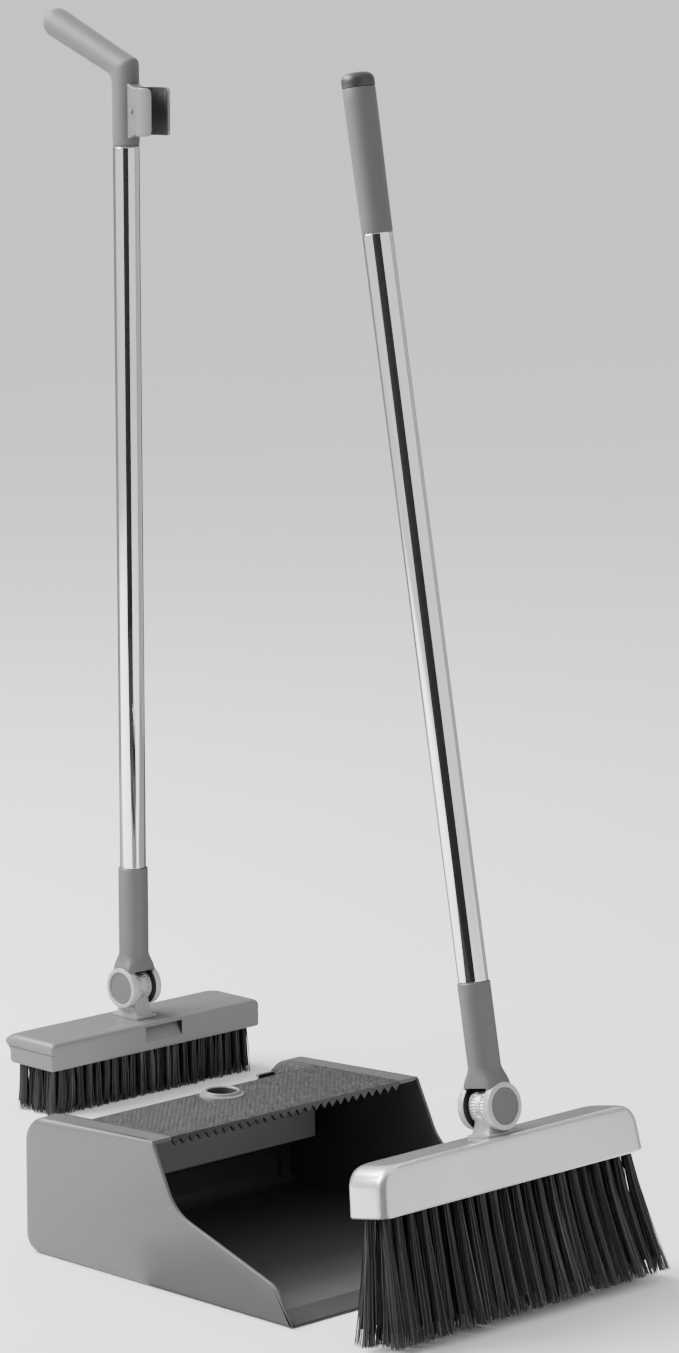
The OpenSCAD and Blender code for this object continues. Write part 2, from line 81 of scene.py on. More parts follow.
back = Vector((
    math.sin(CAMERA_AZIMUTH) * math.cos(CAMERA_HEIGHT),
    -math.cos(CAMERA_AZIMUTH) * math.cos(CAMERA_HEIGHT),
    math.sin(CAMERA_HEIGHT),
))
camera = bpy.data.objects.new("camera", bpy.data.cameras.new("camera"))
bpy.context.scene.collection.objects.link(camera)
camera.data.lens = LENS
camera.location = AIM + back * CAMERA_FAR
camera.rotation_euler = (back.to_track_quat("Z", "Y") @ Euler((0, 0, CAMERA_ROLL)).to_quaternion()).to_euler()
bpy.context.scene.camera = camera
print("camera at", [round(v, 3) for v in camera.location])

# %% [markdown]
# ## Where things are
# Each tool has its own upright coordinates, with zero at its pivot, so a leaning broom is as
# easy to build as a straight brush. A place is a 4 by 4 matrix from those coordinates, in
# millimetres, to the frame. The joints in the record say where the pivots are and how the
# broom leans. The size of a node is then measured in its tool's own coordinates.

# %% Places
def turned_about_x(angle):
    """The 4 by 4 matrix of a turn about X."""
    c, s = math.cos(angle), math.sin(angle)
    return np.array([[1, 0, 0, 0], [0, c, -s, 0], [0, s, c, 0], [0, 0, 0, 1]], float)


def moved(x, y, z):
    """The 4 by 4 matrix of a move."""
    m = np.eye(4)
    m[:3, 3] = (x, y, z)
    return m


joints = {j["name"]: j for j in frame["joints"]}
brush_pivot = np.array(joints["brush_tilt"]["pos_m"]) / MM
broom_pivot = np.array(joints["broom_tilt"]["pos_m"]) / MM
broom_axis = joints["broom_tilt"]["axis"]
broom_lean = math.atan2(-broom_axis[2], broom_axis[1])

QUARTER = np.array([[0, -1, 0, 0], [1, 0, 0, 0], [0, 0, 1, 0], [0, 0, 0, 1]], float)
PAN = np.eye(4)
BRUSH = moved(*brush_pivot)
BROOM = moved(*broom_pivot) @ turned_about_x(-broom_lean)
BROOM_JOINT = BROOM @ QUARTER


def extent(node, place=PAN):
    """Lowest and highest corner of a CAD node, in millimetres, in the coordinates of a place."""
    mesh = frame["nodes"][node].data
    points = np.empty(len(mesh.vertices) * 3, np.float32)
    mesh.vertices.foreach_get("co", points)
    points = points.reshape(-1, 3).astype(float) / MM
    points = (points - place[:3, 3]) @ place[:3, :3]
    return points.min(0), points.max(0)


print("broom leans", round(math.degrees(broom_lean), 1), "degrees")

# %% [markdown]
# ## A finish is written as an expression
# Node trees get hard to read when they are drawn in code. Here a socket is wrapped so that
# `1 - mask` or `grain * 0.2 + 0.4` adds the Math nodes by itself. Every other node comes from
# one method, which sets a node's settings first and then its sockets.

# %% Shader helpers
class Wire:
    """An output socket that can be used in sums."""

    def __init__(self, finish, socket):
        self.finish = finish
        self.socket = socket

    def _sum(self, operation, a, b):
        return self.finish.node("ShaderNodeMath", {"operation": operation}, [a, b])

    def __add__(self, other):
        return self._sum("ADD", self, other)

    def __sub__(self, other):
        return self._sum("SUBTRACT", self, other)

    def __rsub__(self, other):
        return self._sum("SUBTRACT", other, self)

    def __mul__(self, other):
        return self._sum("MULTIPLY", self, other)

    __radd__ = __add__
    __rmul__ = __mul__


class Finish:
    """A material with one Principled shader. Fixed values go straight on the shader."""

    def __init__(self, name, **fixed):
        self.material = bpy.data.materials.new(name)
        self.material.use_nodes = True
        self.tree = self.material.node_tree
        self.shader = self.tree.nodes["Principled BSDF"]
        for socket, value in fixed.items():
            self.shader.inputs[socket.replace("_", " ")].default_value = value

    def node(self, kind, settings=None, inputs=(), out=0):
        """Adds a node: its settings first, then its sockets by place or by name."""
        made = self.tree.nodes.new(kind)
        for key, value in (settings or {}).items():
            if key == "stops":
                ramp = made.color_ramp.elements
                for element, (at, colour) in zip((ramp[0], ramp[1]), value):
                    element.position, element.color = at, colour
            else:
                setattr(made, key, value)
        pairs = inputs.items() if isinstance(inputs, dict) else enumerate(inputs)
        for key, value in pairs:
            if isinstance(value, Wire):
                self.tree.links.new(value.socket, made.inputs[key])
            elif value is not None:
                made.inputs[key].default_value = value
        return Wire(self, made.outputs[out])

    def place(self, stretch=(1, 1, 1), turn=(0, 0, 0)):
        """Object coordinates in metres, turned and then stretched."""
        where = self.node("ShaderNodeTexCoord", out="Object")
        if tuple(stretch) == (1, 1, 1) and tuple(turn) == (0, 0, 0):
            return where
        return self.node("ShaderNodeMapping", {}, {"Vector": where, "Rotation": turn, "Scale": stretch})

    def noise(self, size_mm, detail=2.0, where=None):
        """A noise from 0 to 1 whose lumps are about size_mm across."""
        where = where or self.place()
        return self.node("ShaderNodeTexNoise", {},
                         {"Vector": where, "Scale": 1 / (size_mm * MM), "Detail": detail})

    def mix(self, share, a, b):
        """A colour that goes from a to b as share goes from 0 to 1."""
        made = self.node("ShaderNodeMix", {"data_type": "RGBA", "clamp_factor": True}, {0: share}, 2)
        for key, value in ((6, a), (7, b)):
            if isinstance(value, Wire):
                self.tree.links.new(value.socket, made.socket.node.inputs[key])
            else:
                made.socket.node.inputs[key].default_value = value
        return made

    def ramp(self, value, low, high):
        """0 below low, 1 above high, and smooth in between."""
        return self.node("ShaderNodeMapRange", {"interpolation_type": "SMOOTHSTEP"},
                         [value, low, high, 0.0, 1.0])

    def bump(self, height, depth_mm, strength=1.0):
        """Feeds the shader's normal with a height from 0 to 1, depth_mm deep."""
        normal = self.node("ShaderNodeBump", {},
                           {"Height": height, "Distance": depth_mm * MM, "Strength": strength})
        self.feed("Normal", normal)

    def feed(self, socket, wire):
        """Links a wire to one of the shader's sockets."""
        self.tree.links.new(wire.socket, self.shader.inputs[socket])


def grey(level, warm=0.0):
    """A neutral colour, a little warmer or cooler, as red, green, blue and alpha."""
    return (level * (1 + warm), level, level * (1 - warm), 1.0)


print("shader helpers ready")

# %% [markdown]
# ## Moulded plastic
# Injection-moulded plastic is never one flat colour. A spark-eroded mould leaves a fine grain,
# the flow of the melt leaves faint clouds, and handling polishes it here and there. Three
# noises of different size give that: clouds for colour, patches for gloss, grain for relief.

# %% Plastic finishes
def moulded(name, colour, roughness, grain_mm=0.45, depth_mm=0.03, clouds=0.07, **fixed):
    """A grained plastic: clouds change its colour, patches its gloss, grain its relief."""
    f = Finish(name, **fixed)
    cloud = f.noise(38, 3)
    speck = f.noise(grain_mm * 1.7, 1)
    dark = tuple(c * (1 - clouds) for c in colour[:3]) + (1.0,)
    light = tuple(min(1.0, c * (1 + clouds)) for c in colour[:3]) + (1.0,)
    f.feed("Base Color", f.mix(cloud * 0.75 + speck * 0.25, dark, light))
    f.feed("Roughness", f.noise(9, 3) * 0.16 + (roughness - 0.08))
    f.bump(f.noise(grain_mm, 2), depth_mm)
    return f.material


def shaded_bin(name, wall, floor):
    """The inside of the pan: a dark satin plastic with dusty patches. Faces that point up, like its floor,
    are painted lighter than the walls, as painted light from above.
    """
    f = Finish(name)
    up = f.node("ShaderNodeSeparateXYZ", {}, [f.node("ShaderNodeNewGeometry", out="Normal")], 2)
    dust = f.noise(22, 4)
    # Painted light: the share of the lighter floor colour grows as a face turns up, so upright walls stay
    # darker
    lit = f.ramp(up, 0.35, 0.9) * (dust * 0.4 + 0.8)
    f.feed("Base Color", f.mix(lit, grey(wall), grey(floor, -0.03)))
    f.feed("Roughness", dust * 0.2 + 0.42)
    f.bump(f.noise(0.5, 2), 0.03)
    return f.material


def spark_eroded(name, dark, light):
    """The deck: a coarse eroded grain with darker pits, over faint clouds."""
    f = Finish(name)
    pits = f.ramp(f.noise(2.4, 2), 0.42, 0.62)
    f.feed("Base Color", f.mix(pits * 0.8 + f.noise(35, 2) * 0.2, grey(dark, 0.015), grey(light, 0.015)))
    f.feed("Roughness", pits * 0.15 + 0.38)
    f.bump(f.noise(0.8, 1), 0.02)
    return f.material


DECK = spark_eroded("pan_deck", 0.012, 0.046)
PAN_OUTSIDE = moulded("pan_outside", grey(0.084, 0.035), 0.35, 0.5, 0.018, 0.05)
PAN_INSIDE = shaded_bin("pan_inside", 0.045, 0.056)
# The tray grey is partly its own colour and partly painted light: it is set lighter to stand for the light
# falling on the band from the front
TRAY = moulded("pan_tray", grey(0.24, -0.02), 0.48, 0.5, 0.03, 0.10)
LIP = moulded("soft_lip", grey(0.014, -0.02), 0.60, 0.35, 0.02, 0.10)
COLLAR = moulded("collar_plastic", grey(0.17), 0.36, 0.5, 0.02, 0.06)
SOCKET_DARK = moulded("socket_bore", grey(0.02), 0.55, 0.5, 0.02)
BRUSH_BODY = moulded("brush_body", grey(0.135, 0.005), 0.37, 0.5, 0.02, 0.05)
FORK = moulded("fork_plastic", grey(0.092, 0.01), 0.44, 0.42, 0.03, 0.06)
DISC_CAP = moulded("disc_cap", grey(0.095, 0.01), 0.52, 0.4, 0.04, 0.08)
# Painted shade: a near-black finish for faces that lie in deep shade, in the brush's finger slot and in the
# fork's gap
PAINTED_SHADE = moulded("painted_shade", grey(0.012), 0.55, 0.5, 0.02, 0.1)
CHEEK_RING = moulded("cheek_ring", grey(0.34), 0.30, 0.5, 0.012, 0.04, Coat_Weight=0.3)
KNUCKLE = moulded("knuckle_plastic", grey(0.24), 0.26, 0.8, 0.008, 0.04, Coat_Weight=0.35)
CLIP = moulded("clip_plastic", grey(0.14), 0.34, 0.6, 0.015, 0.04)
CLIP_SOFT = moulded("clip_lining", grey(0.022), 0.62, 0.35, 0.03, 0.15)
CAP_DARK = moulded("grip_cap", grey(0.03), 0.38, 0.4, 0.02, 0.1)
BOARD = moulded("tuft_board", grey(0.03), 0.55, 0.6, 0.03, 0.1)
WASHER = moulded("friction_washer", grey(0.03), 0.7, 0.3, 0.03, 0.1)
print("plastics ready")

# %% [markdown]
# ## Soft grip, silver lacquer, metal and filament
# The grips are sprayed with a soft-touch paint: matt, with a skin so fine that it shows only
# as a velvety edge. The broom head is lacquered silver, which is a metallic base under a clear
# coat. The tubes are drawn and polished, so their faint scratches run lengthwise. A filament
# takes its shade from an attribute, so that no two neighbours look the same.

# %% Other finishes
def soft_touch(name, colour):
    """Matt soft paint with a fine even grain and a pale sheen."""
    f = Finish(name, Sheen_Weight=0.12, Sheen_Roughness=0.4)
    handled = f.noise(24, 3)
    f.feed("Base Color", f.mix(handled, tuple(c * 0.93 for c in colour[:3]) + (1.0,), colour))
    f.feed("Roughness", handled * 0.14 + 0.50)
    f.bump(f.noise(0.3, 2), 0.02)
    return f.material


def silver_lacquer(name):
    """Metallic flakes under a clear coat: flakes vary gloss, orange peel waves the surface."""
    f = Finish(name, Metallic=0.8, Coat_Weight=0.6, Coat_Roughness=0.08)
    flake = f.noise(0.35, 0)
    f.feed("Base Color", f.mix(f.noise(45, 2) * 0.6 + flake * 0.4, grey(0.62), grey(0.74)))
    f.feed("Roughness", flake * 0.10 + 0.20)
    f.bump(f.noise(2.4, 2), 0.006)
    return f.material


def drawn_tube(name, lean):
    """Polished stainless tube: faint lengthwise draw lines and finger marks."""
    f = Finish(name, Metallic=1.0)
    along = f.place((2200, 2200, 9), (lean, 0, 0))
    lines = f.node("ShaderNodeTexNoise", {}, {"Vector": along, "Scale": 1.0, "Detail": 2.0})
    smear = f.ramp(f.noise(30, 4), 0.52, 0.75)
    f.feed("Base Color", f.mix(lines * 0.5 + smear * 0.3, grey(0.94), grey(0.86)))
    f.feed("Roughness", lines * 0.035 + smear * 0.05 + 0.035)
    f.bump(lines, 0.0012)
    return f.material


def plated_steel(name, dullness=0.22):
    """Zinc-plated turned steel: fine turning marks and small dull spots."""
    f = Finish(name, Metallic=1.0)
    spots = f.ramp(f.noise(1.2, 3), 0.45, 0.7)
    f.feed("Base Color", f.mix(spots, grey(0.66), grey(0.5, -0.02)))
    f.feed("Roughness", spots * 0.2 + dullness)
    f.bump(f.noise(0.15, 1), 0.01)
    return f.material


def filament(name, dark, light):
    """Plastic bristle: each strand has its own random shade, paler from root to tip; the palest shades also
    stand in part for painted highlights.
    """
    f = Finish(name, IOR=1.5)
    strand = f.node("ShaderNodeAttribute", {"attribute_name": "strand"}, out="Fac")
    along = f.node("ShaderNodeAttribute", {"attribute_name": "along"}, out="Fac")
    # Random shade for each strand, paler towards the tip; its pale end is partly a painted highlight on the
    # tufts
    f.feed("Base Color", f.mix(strand * (along * 0.6 + 0.4), grey(dark), grey(light)))
    f.feed("Roughness", strand * 0.15 + 0.34)
    f.bump(f.noise(0.4, 1), 0.01)
    return f.material


GRIP = soft_touch("grip_soft_touch", grey(0.088))
SILVER = silver_lacquer("silver_lacquer")
BRUSH_TUBE = drawn_tube("brush_tube", 0.0)
BROOM_TUBE = drawn_tube("broom_tube", broom_lean)
STEEL = plated_steel("plated_steel")
RATCHET = plated_steel("ratchet_plating", 0.42)
# The light shade 0.12 is raised to serve partly as a painted highlight
FILAMENT = filament("filament", 0.008, 0.12)
TUFT_ROOT = moulded("tuft_core", grey(0.007), 0.7, 0.4, 0.05)
print("finishes ready:", len(bpy.data.materials))

# %% [markdown]
# ## Surfaces from numbers
# Every shape below is either a stack of closed rings or a sheet with two sides. Both are
# arrays of points, worked out at once. A `Skin` collects such patches, welds their seams,
# turns their faces outwards and hands the finished mesh to the frame.

# %% Skin
class Skin:
    """One piece, collected from patches of points and faces in a tool's own coordinates."""

    def __init__(self, place=PAN):
        self.place = place
        self.points, self.faces, self.paints = [], [], []
        self.count = 0

    def patch(self, points, faces, paint=0):
        """Adds points (n, 3) and faces, a list of index lists."""
        self.points.append(np.asarray(points, float).reshape(-1, 3))
        faces = [[i + self.count for i in f] for f in faces]
        self.faces += faces
        self.paints += list(np.broadcast_to(paint, len(faces)))
        self.count += len(self.points[-1])

    def rings(self, rings, paint=0, ends=True, joined=False):
        """Joins a stack of closed rings (k, n, 3) by quads. Ends are capped unless it is joined.
        A paint is one number, one for each row of quads or one for each quad."""
        rings = np.asarray(rings, float)
        k, n = rings.shape[:2]
        rows = k if joined else k - 1
        i, j = np.meshgrid(np.arange(rows), np.arange(n), indexing="ij")
        up, side = (i + 1) % k, (j + 1) % n
        quads = np.stack([i * n + j, i * n + side, up * n + side, up * n + j], -1).reshape(-1, 4)
        paint = np.asarray(paint)
        paint = paint if paint.ndim == 2 else np.repeat(np.broadcast_to(paint, rows)[:, None], n, 1)
        self.patch(rings, quads.tolist(), paint.ravel())
        if ends and not joined:
            first, last = paint[[0, -1], 0]
            self.patch(rings[0], [list(range(n))], first)
            self.patch(rings[-1], [list(range(n))], last)

    def sheet(self, top, under, keep=None, paint=0, under_paint=None):
        """A closed plate between two grids (r, c, 3). Cells that keep leaves out become holes."""
        top, under = np.asarray(top, float), np.asarray(under, float)
        r, c = top.shape[:2]
        keep = np.ones((r - 1, c - 1), bool) if keep is None else keep
        i, j = np.nonzero(keep)
        a, b, d, e = i * c + j, i * c + j + 1, (i + 1) * c + j + 1, (i + 1) * c + j
        quads = np.stack([a, b, d, e], -1)
        around = np.pad(keep, 1)
        walls = []
        for di, dj, p, q in ((-1, 0, a, b), (1, 0, d, e), (0, -1, e, a), (0, 1, b, d)):
            open_side = ~around[i + 1 + di, j + 1 + dj]
            p, q = p[open_side], q[open_side]
            walls.append(np.stack([q, p, p + r * c, q + r * c], -1))
        edge = np.concatenate(walls)
        faces = np.concatenate([quads, quads[:, ::-1] + r * c, edge])
        under_paint = paint if under_paint is None else under_paint
        paints = np.concatenate([np.full(len(quads), paint), np.full(len(quads), under_paint),
                                 np.full(len(edge), paint)])
        self.patch(np.concatenate([top.reshape(-1, 3), under.reshape(-1, 3)]), faces.tolist(), paints)

    def make(self, name, body, slot, finishes, stands_for=(), sharp=38, weld=True, values=None):
        """Makes the mesh, welds it, gives it its finishes and hangs it on its body."""
        points = np.concatenate(self.points) @ self.place[:3, :3].T + self.place[:3, 3]
        mesh = bpy.data.meshes.new(name)
        mesh.from_pydata((points * MM).tolist(), [], self.faces)
        mesh.polygons.foreach_set("material_index", np.array(self.paints, np.int32))
        for key, numbers in (values or {}).items():
            mesh.attributes.new(key, "FLOAT", "POINT").data.foreach_set(
                "value", np.asarray(numbers, np.float32))
        work = bmesh.new()
        work.from_mesh(mesh)
        if weld:
            bmesh.ops.remove_doubles(work, verts=work.verts, dist=0.002 * MM)
        bmesh.ops.recalc_face_normals(work, faces=work.faces)
        work.to_mesh(mesh)
        work.free()
        mesh.shade_smooth()
        mesh.set_sharp_from_angle(angle=math.radians(sharp))
        for finish in finishes:
            mesh.materials.append(finish)
        piece = bpy.data.objects.new(name, mesh)
        bpy.context.scene.collection.objects.link(piece)
        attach(piece, body)
        if stands_for:
            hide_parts(*stands_for)
        print(f"{name}: {len(mesh.vertices)} points, {len(mesh.polygons)} faces")
        return piece


# %% [markdown]
# ## Outlines
# Rounded corners are the difference between a drawing and a product. An outline is written
# with its corners and their radii, and the arcs are worked out from them.

# %% Outlines
def corner_arc(a, b, c, radius, steps):
    """Points of the arc that rounds corner b between a and c: it touches both sides."""
    u, w = (a - b) / np.linalg.norm(a - b), (c - b) / np.linalg.norm(c - b)
    half = math.acos(np.clip(u @ w, -1, 1)) / 2
    middle = b + (u + w) / np.linalg.norm(u + w) * radius / math.sin(half)
    start = b + u * radius / math.tan(half) - middle
    end = b + w * radius / math.tan(half) - middle
    first = math.atan2(start[1], start[0])
    sweep = (math.atan2(end[1], end[0]) - first + math.pi) % (2 * math.pi) - math.pi
    angle = first + sweep * np.linspace(0, 1, steps + 1)
    return middle + radius * np.stack([np.cos(angle), np.sin(angle)], -1)


def rounded(corners, steps=8):
    """A closed outline (n, 2) from corners given as (x, y, radius)."""
    corners = np.array(corners, float)
    points = []
    for before, here, after in zip(np.roll(corners, 1, 0), corners, np.roll(corners, -1, 0)):
        if here[2] > 0:
            points.append(corner_arc(before[:2], here[:2], after[:2], here[2], steps))
        else:
            points.append(here[None, :2])
    return np.concatenate(points)


def inward(outline):
    """Unit normals that point into a closed outline, halfway between its two sides."""
    ahead = np.roll(outline, -1, 0) - outline
    ahead /= np.linalg.norm(ahead, axis=1, keepdims=True) + 1e-12
    behind = np.roll(ahead, 1, 0)
    sides = [np.stack([-v[:, 1], v[:, 0]], -1) for v in (ahead, behind)]
    normal = sides[0] + sides[1]
    normal /= np.linalg.norm(normal, axis=1, keepdims=True)
    normal /= np.maximum(0.35, (normal * sides[0]).sum(1))[:, None]
    area = (outline[:, 0] * np.roll(outline[:, 1], -1) - outline[:, 1] * np.roll(outline[:, 0], -1)).sum()
    return normal if area > 0 else -normal


def plate(outline, low, high, low_round, high_round, steps=4):
    """Rings of an outline (n, 2) carried from low to high along a third axis. Near each end it
    is drawn in along a quarter circle. A round may be one radius or one for each point."""
    normal = inward(outline)
    turns = np.linspace(0, math.pi / 2, steps + 1)
    rings = []
    for start, sign, radius, order in ((low, 1, low_round, turns), (high, -1, high_round, turns[::-1])):
        radius = np.broadcast_to(radius, len(outline))
        for turn in order:
            inset, rise = radius * (1 - math.sin(turn)), radius * (1 - math.cos(turn))
            rings.append(np.column_stack([outline + normal * inset[:, None], start + sign * rise]))
    return np.array(rings)


def along_x(rings):
    """Turns rings drawn as (y, z, x) into (x, y, z)."""
    return rings[..., [2, 0, 1]]


def swept(path, xs):
    """A grid (len(xs), n, 3) of a path of (y, z) points repeated at each x."""
    return np.array([np.column_stack([np.full(len(path), x), path]) for x in xs])


def path_normals(path):
    """Unit normals to the left of an open path."""
    ahead = np.gradient(path, axis=0)
    return np.stack([-ahead[:, 1], ahead[:, 0]], -1) / np.linalg.norm(ahead, axis=1)[:, None]


def lathe(profile, steps=64):
    """Turns a profile of (radius, height) pairs about Z: one ring for each pair."""
    profile = np.array(profile, float)
    angle = np.linspace(0, 2 * np.pi, steps, endpoint=False)
    ring = np.stack([np.cos(angle), np.sin(angle)], -1)
    flat = profile[:, 0, None, None] * ring
    return np.concatenate([flat, np.broadcast_to(profile[:, 1, None, None], flat[..., :1].shape)], -1)


def lathe_x(profile, steps, hand, start=0.0, y=0.0, z=0.0):
    """The same about an axis along X through (y, z): it starts there and goes the hand's way."""
    rings = lathe(profile, steps)
    return np.stack([hand * (start + rings[..., 2]), y + rings[..., 0], z + rings[..., 1]], -1)


def smooth(t):
    """0 below 0, 1 above 1, with a soft start and end."""
    t = np.clip(t, 0, 1)
    return t * t * (3 - 2 * t)


print("outline helpers ready")

# %% [markdown]
# ## The pan: side walls
# Each side wall is a plate with the pan's profile: high over the bin, then an S down to the
# lip. Where it turns into the floor, the rear wall and the rim its outer edge has a generous
# radius. Along the open S it is only broken. So the radius is a function of the place along
# the outline. It could be a cube with a Boolean and a Bevel, but those radii would then all
# be the same.

# %% Pan sizes
pan_low, pan_high = extent("pan_tub")
cover_low, cover_high = extent("pan_cover")
lip_low, lip_high = extent("pan_lip")
LIP_REAR = lip_high[1]
FRONT, REAR = pan_low[1], pan_high[1]
HALF_W = pan_high[0]
PAN_TOP = pan_high[2]
COVER_FRONT = REAR - 142.0
COVER_FALL = 6.0
WALL = 2.8
OPENING = cover_high[0]
TRAY_DEPTH = 52.0
DECK_REAR = REAR - TRAY_DEPTH
TRAY_LOW = cover_low[2]
LOW_ROUND, TOP_ROUND = 14.0, 21.0
RIM_ROUND, FLOOR_ROUND, FREE_ROUND = 5.0, 3.0, 1.1


def cover_height(y):
    """Top of the cover: it falls evenly from its front edge to the rear wall."""
    return PAN_TOP - COVER_FALL * (y - COVER_FRONT) / (REAR - COVER_FRONT)


side = rounded([
    (REAR, 0, LOW_ROUND),
    (REAR, cover_height(REAR), TOP_ROUND),
    (COVER_FRONT, PAN_TOP, 4),
    (COVER_FRONT - 24, 62, 36),
    (FRONT + 15, 27, 19),
    (FRONT, 0, 0.8),
], 14)


def edge_round(points):
    """Outer radius of the side wall at a point of its outline: large at the closed part,
    small at the floor edge in front and least along the open S."""
    closed = smooth((points[:, 0] - COVER_FRONT + 1) / 9)
    floor = np.where(points[:, 1] < 1, FLOOR_ROUND, FREE_ROUND)
    return floor + (RIM_ROUND - floor) * closed


print("pan", round(2 * HALF_W), "x", round(REAR - FRONT), "x", round(PAN_TOP), "mm")

# %% [markdown]
# Each wall is a stack of rings: the same outline, drawn in step by step along its own normals
# while it moves inwards along X. A Solidify and a Bevel modifier would need the same radius
# everywhere. The outer rings get the outside finish and the last one the inside's.

# %% Pan side walls
tub = Skin(PAN)
radius = edge_round(side)
normal = inward(side)
closed = smooth((side[:, 0] - COVER_FRONT + 1) / 9)
closed = np.maximum(closed, side[:, 1] < 1)
for hand in (-1, 1):
    stack, paint = [], []
    for turn in np.linspace(0, np.pi / 2, 7):
        stack.append((radius * (1 - np.sin(turn)), HALF_W - radius * (1 - np.cos(turn))))
        paint.append(0)
    lip_in = HALF_W - np.maximum(radius, WALL - 0.5)
    stack.append((radius * 0, lip_in))
    stack.append((closed * WALL + (1 - closed) * 0.5, lip_in - (1 - closed) * 0.5))
    stack.append((closed * WALL + (1 - closed) * 0.5, np.full(len(side), HALF_W - WALL)))
    paint += [0, 1]
    rings = np.array([np.column_stack([hand * x, side + normal * inset[:, None]])
                      for inset, x in stack])
    tub.rings(rings, paint)

# %% [markdown]
# Floor and rear wall are one moulding with a round corner between them, so they are one sheet
# with two sides. The rear wall stops lower in its middle, to leave a notch, and goes up to the
# ears in a quarter circle. That is only a different height for each column of the grid.

# %% Pan floor and rear wall
NOTCH_HALF = HALF_W - 38.0
NOTCH_ROUND = 9.0
NOTCH_DEPTH = 22.0
notch_low = cover_height(REAR) - NOTCH_DEPTH


FLOOR_Y = np.concatenate([[FRONT + 0.8, FRONT + 15, LIP_REAR - 0.3, LIP_REAR],
                          np.linspace(LIP_REAR, REAR - LOW_ROUND, 20)[1:-1]])


def floor_thickness(y, z):
    """The floor is thinner in front, where the lip strip lies on it."""
    return np.where((y < LIP_REAR - 0.1) & (z < 1), lip_low[2], WALL)


def rear_path(reach, count=10):
    """Points (y, z) and inward normals of floor, corner and rear wall, up to the height reach."""
    turn = np.linspace(-np.pi / 2, 0, count)
    y = np.concatenate([FLOOR_Y, REAR - LOW_ROUND + LOW_ROUND * np.cos(turn)])
    z = np.concatenate([0 * FLOOR_Y, LOW_ROUND + LOW_ROUND * np.sin(turn)])
    ny = np.concatenate([0 * FLOOR_Y, -np.cos(turn)])
    nz = np.concatenate([0 * FLOOR_Y + 1, -np.sin(turn)])
    rise = LOW_ROUND + (reach - LOW_ROUND) * np.linspace(0, 1, 12)[1:]
    bend = np.clip((rise - (cover_height(REAR) - TOP_ROUND)) / TOP_ROUND, 0, 1)
    y = np.concatenate([y, REAR - TOP_ROUND * (1 - np.sqrt(1 - bend**2))])
    z = np.concatenate([z, rise])
    ny = np.concatenate([ny, -np.ones(11)])
    nz = np.concatenate([nz, np.zeros(11)])
    return y, z, ny, nz


# A quarter circle lifts the edge of the wall from the notch to the ears
corner_turn = np.linspace(0, np.pi / 2, 9)
shoulder_x = np.concatenate([NOTCH_HALF - NOTCH_ROUND * np.cos(corner_turn),
                             NOTCH_HALF + 0.02 + np.linspace(0, OPENING - NOTCH_HALF - 0.02, 5)])
shoulder_z = np.concatenate([notch_low + NOTCH_ROUND * (1 - np.sin(np.pi / 2 - corner_turn)),
                             np.full(5, cover_height(REAR) - TOP_ROUND + 10.5)])
columns = np.concatenate([-shoulder_x[::-1], np.linspace(-1, 1, 25)[1:-1] * shoulder_x[0], shoulder_x])
reach = np.concatenate([shoulder_z[::-1], np.full(23, notch_low), shoulder_z])


def wall_sheet(xs, reaches):
    """Outer and inner grid of floor and rear wall for stations xs with their own heights."""
    outer, inner = [], []
    for x, height in zip(xs, reaches):
        y, z, ny, nz = rear_path(height)
        thick = floor_thickness(y, z)
        outer.append(np.stack([np.full_like(y, x), y, z], -1))
        inner.append(np.stack([np.full_like(y, x), y + ny * thick, z + nz * thick], -1))
    return np.array(outer), np.array(inner)


outer, inner = wall_sheet(columns, reach)
tub.sheet(outer, inner, paint=0, under_paint=1)

# %% [markdown]
# Beside the opening the wall runs on over the top of the pan as two rims, which carry the
# cover. Two small ribs inside stiffen the rear wall. All of it is welded into one tub.

# %% Pan rims and ribs
rim_path = rounded([(REAR - 40, 0, 0), (REAR, 0, LOW_ROUND),
                    (REAR, cover_height(REAR), TOP_ROUND), (COVER_FRONT + 0.3, PAN_TOP, 0)], 14)[1:]
rim_front = np.linspace(rim_path[-2], rim_path[-1], 13)[1:]
rim_path = np.concatenate([np.column_stack([FLOOR_Y, 0 * FLOOR_Y]), rim_path[:-1], rim_front])
rim_inner = rim_path + path_normals(rim_path) * floor_thickness(rim_path[:, 0], rim_path[:, 1])[:, None]
rim_radius = edge_round(rim_path)
for hand in (-1, 1):
    outer, inner = [], []
    for share in np.linspace(0, 1, 4):
        x = hand * (OPENING + share * (HALF_W - rim_radius - OPENING))
        outer.append(np.column_stack([x, rim_path]))
        inner.append(np.column_stack([x, rim_inner]))
    tub.sheet(np.array(outer), np.array(inner), paint=0, under_paint=1)

# Stiffening ribs inside the rear wall
RIB_INSET, RIB_HALF, RIB_DEPTH, RIB_HEIGHT = 12.0, 1.2, 5.0, 25.5
rib_front, rib_rear = REAR - WALL - RIB_DEPTH, REAR - WALL + 0.3
for hand in (-1, 1):
    x = hand * (HALF_W - WALL - RIB_INSET)
    foot = rounded([(x - RIB_HALF, rib_front, 0.6), (x + RIB_HALF, rib_front, 0.6),
                    (x + RIB_HALF, rib_rear, 0), (x - RIB_HALF, rib_rear, 0)], 3)
    tub.rings(plate(foot, WALL - 0.5, WALL + RIB_HEIGHT, 0.05, 0.8, 3), 1)
tub.make("pan_tub_shell", "pan", "pan_grey", [PAN_OUTSIDE, PAN_INSIDE], ["pan_tub"], 32)

# %% [markdown]
# ## The pan: cover, comb and tray
# The deck is not smooth: it has a close pattern of small raised pips, which keeps dust and a
# shoe from sliding. Pips could be a bump in the material, but they also break up the edge
# highlights, so they are real: the height of the deck's grid is a product of two cosines. A slower
# pair makes the pips uneven, like a worn mould. Round the collar and along the border the
# pattern fades out. A keep mask leaves a hole in the grid
# where the collar passes through. The comb hangs from the front edge
# and takes fluff off the bristles.

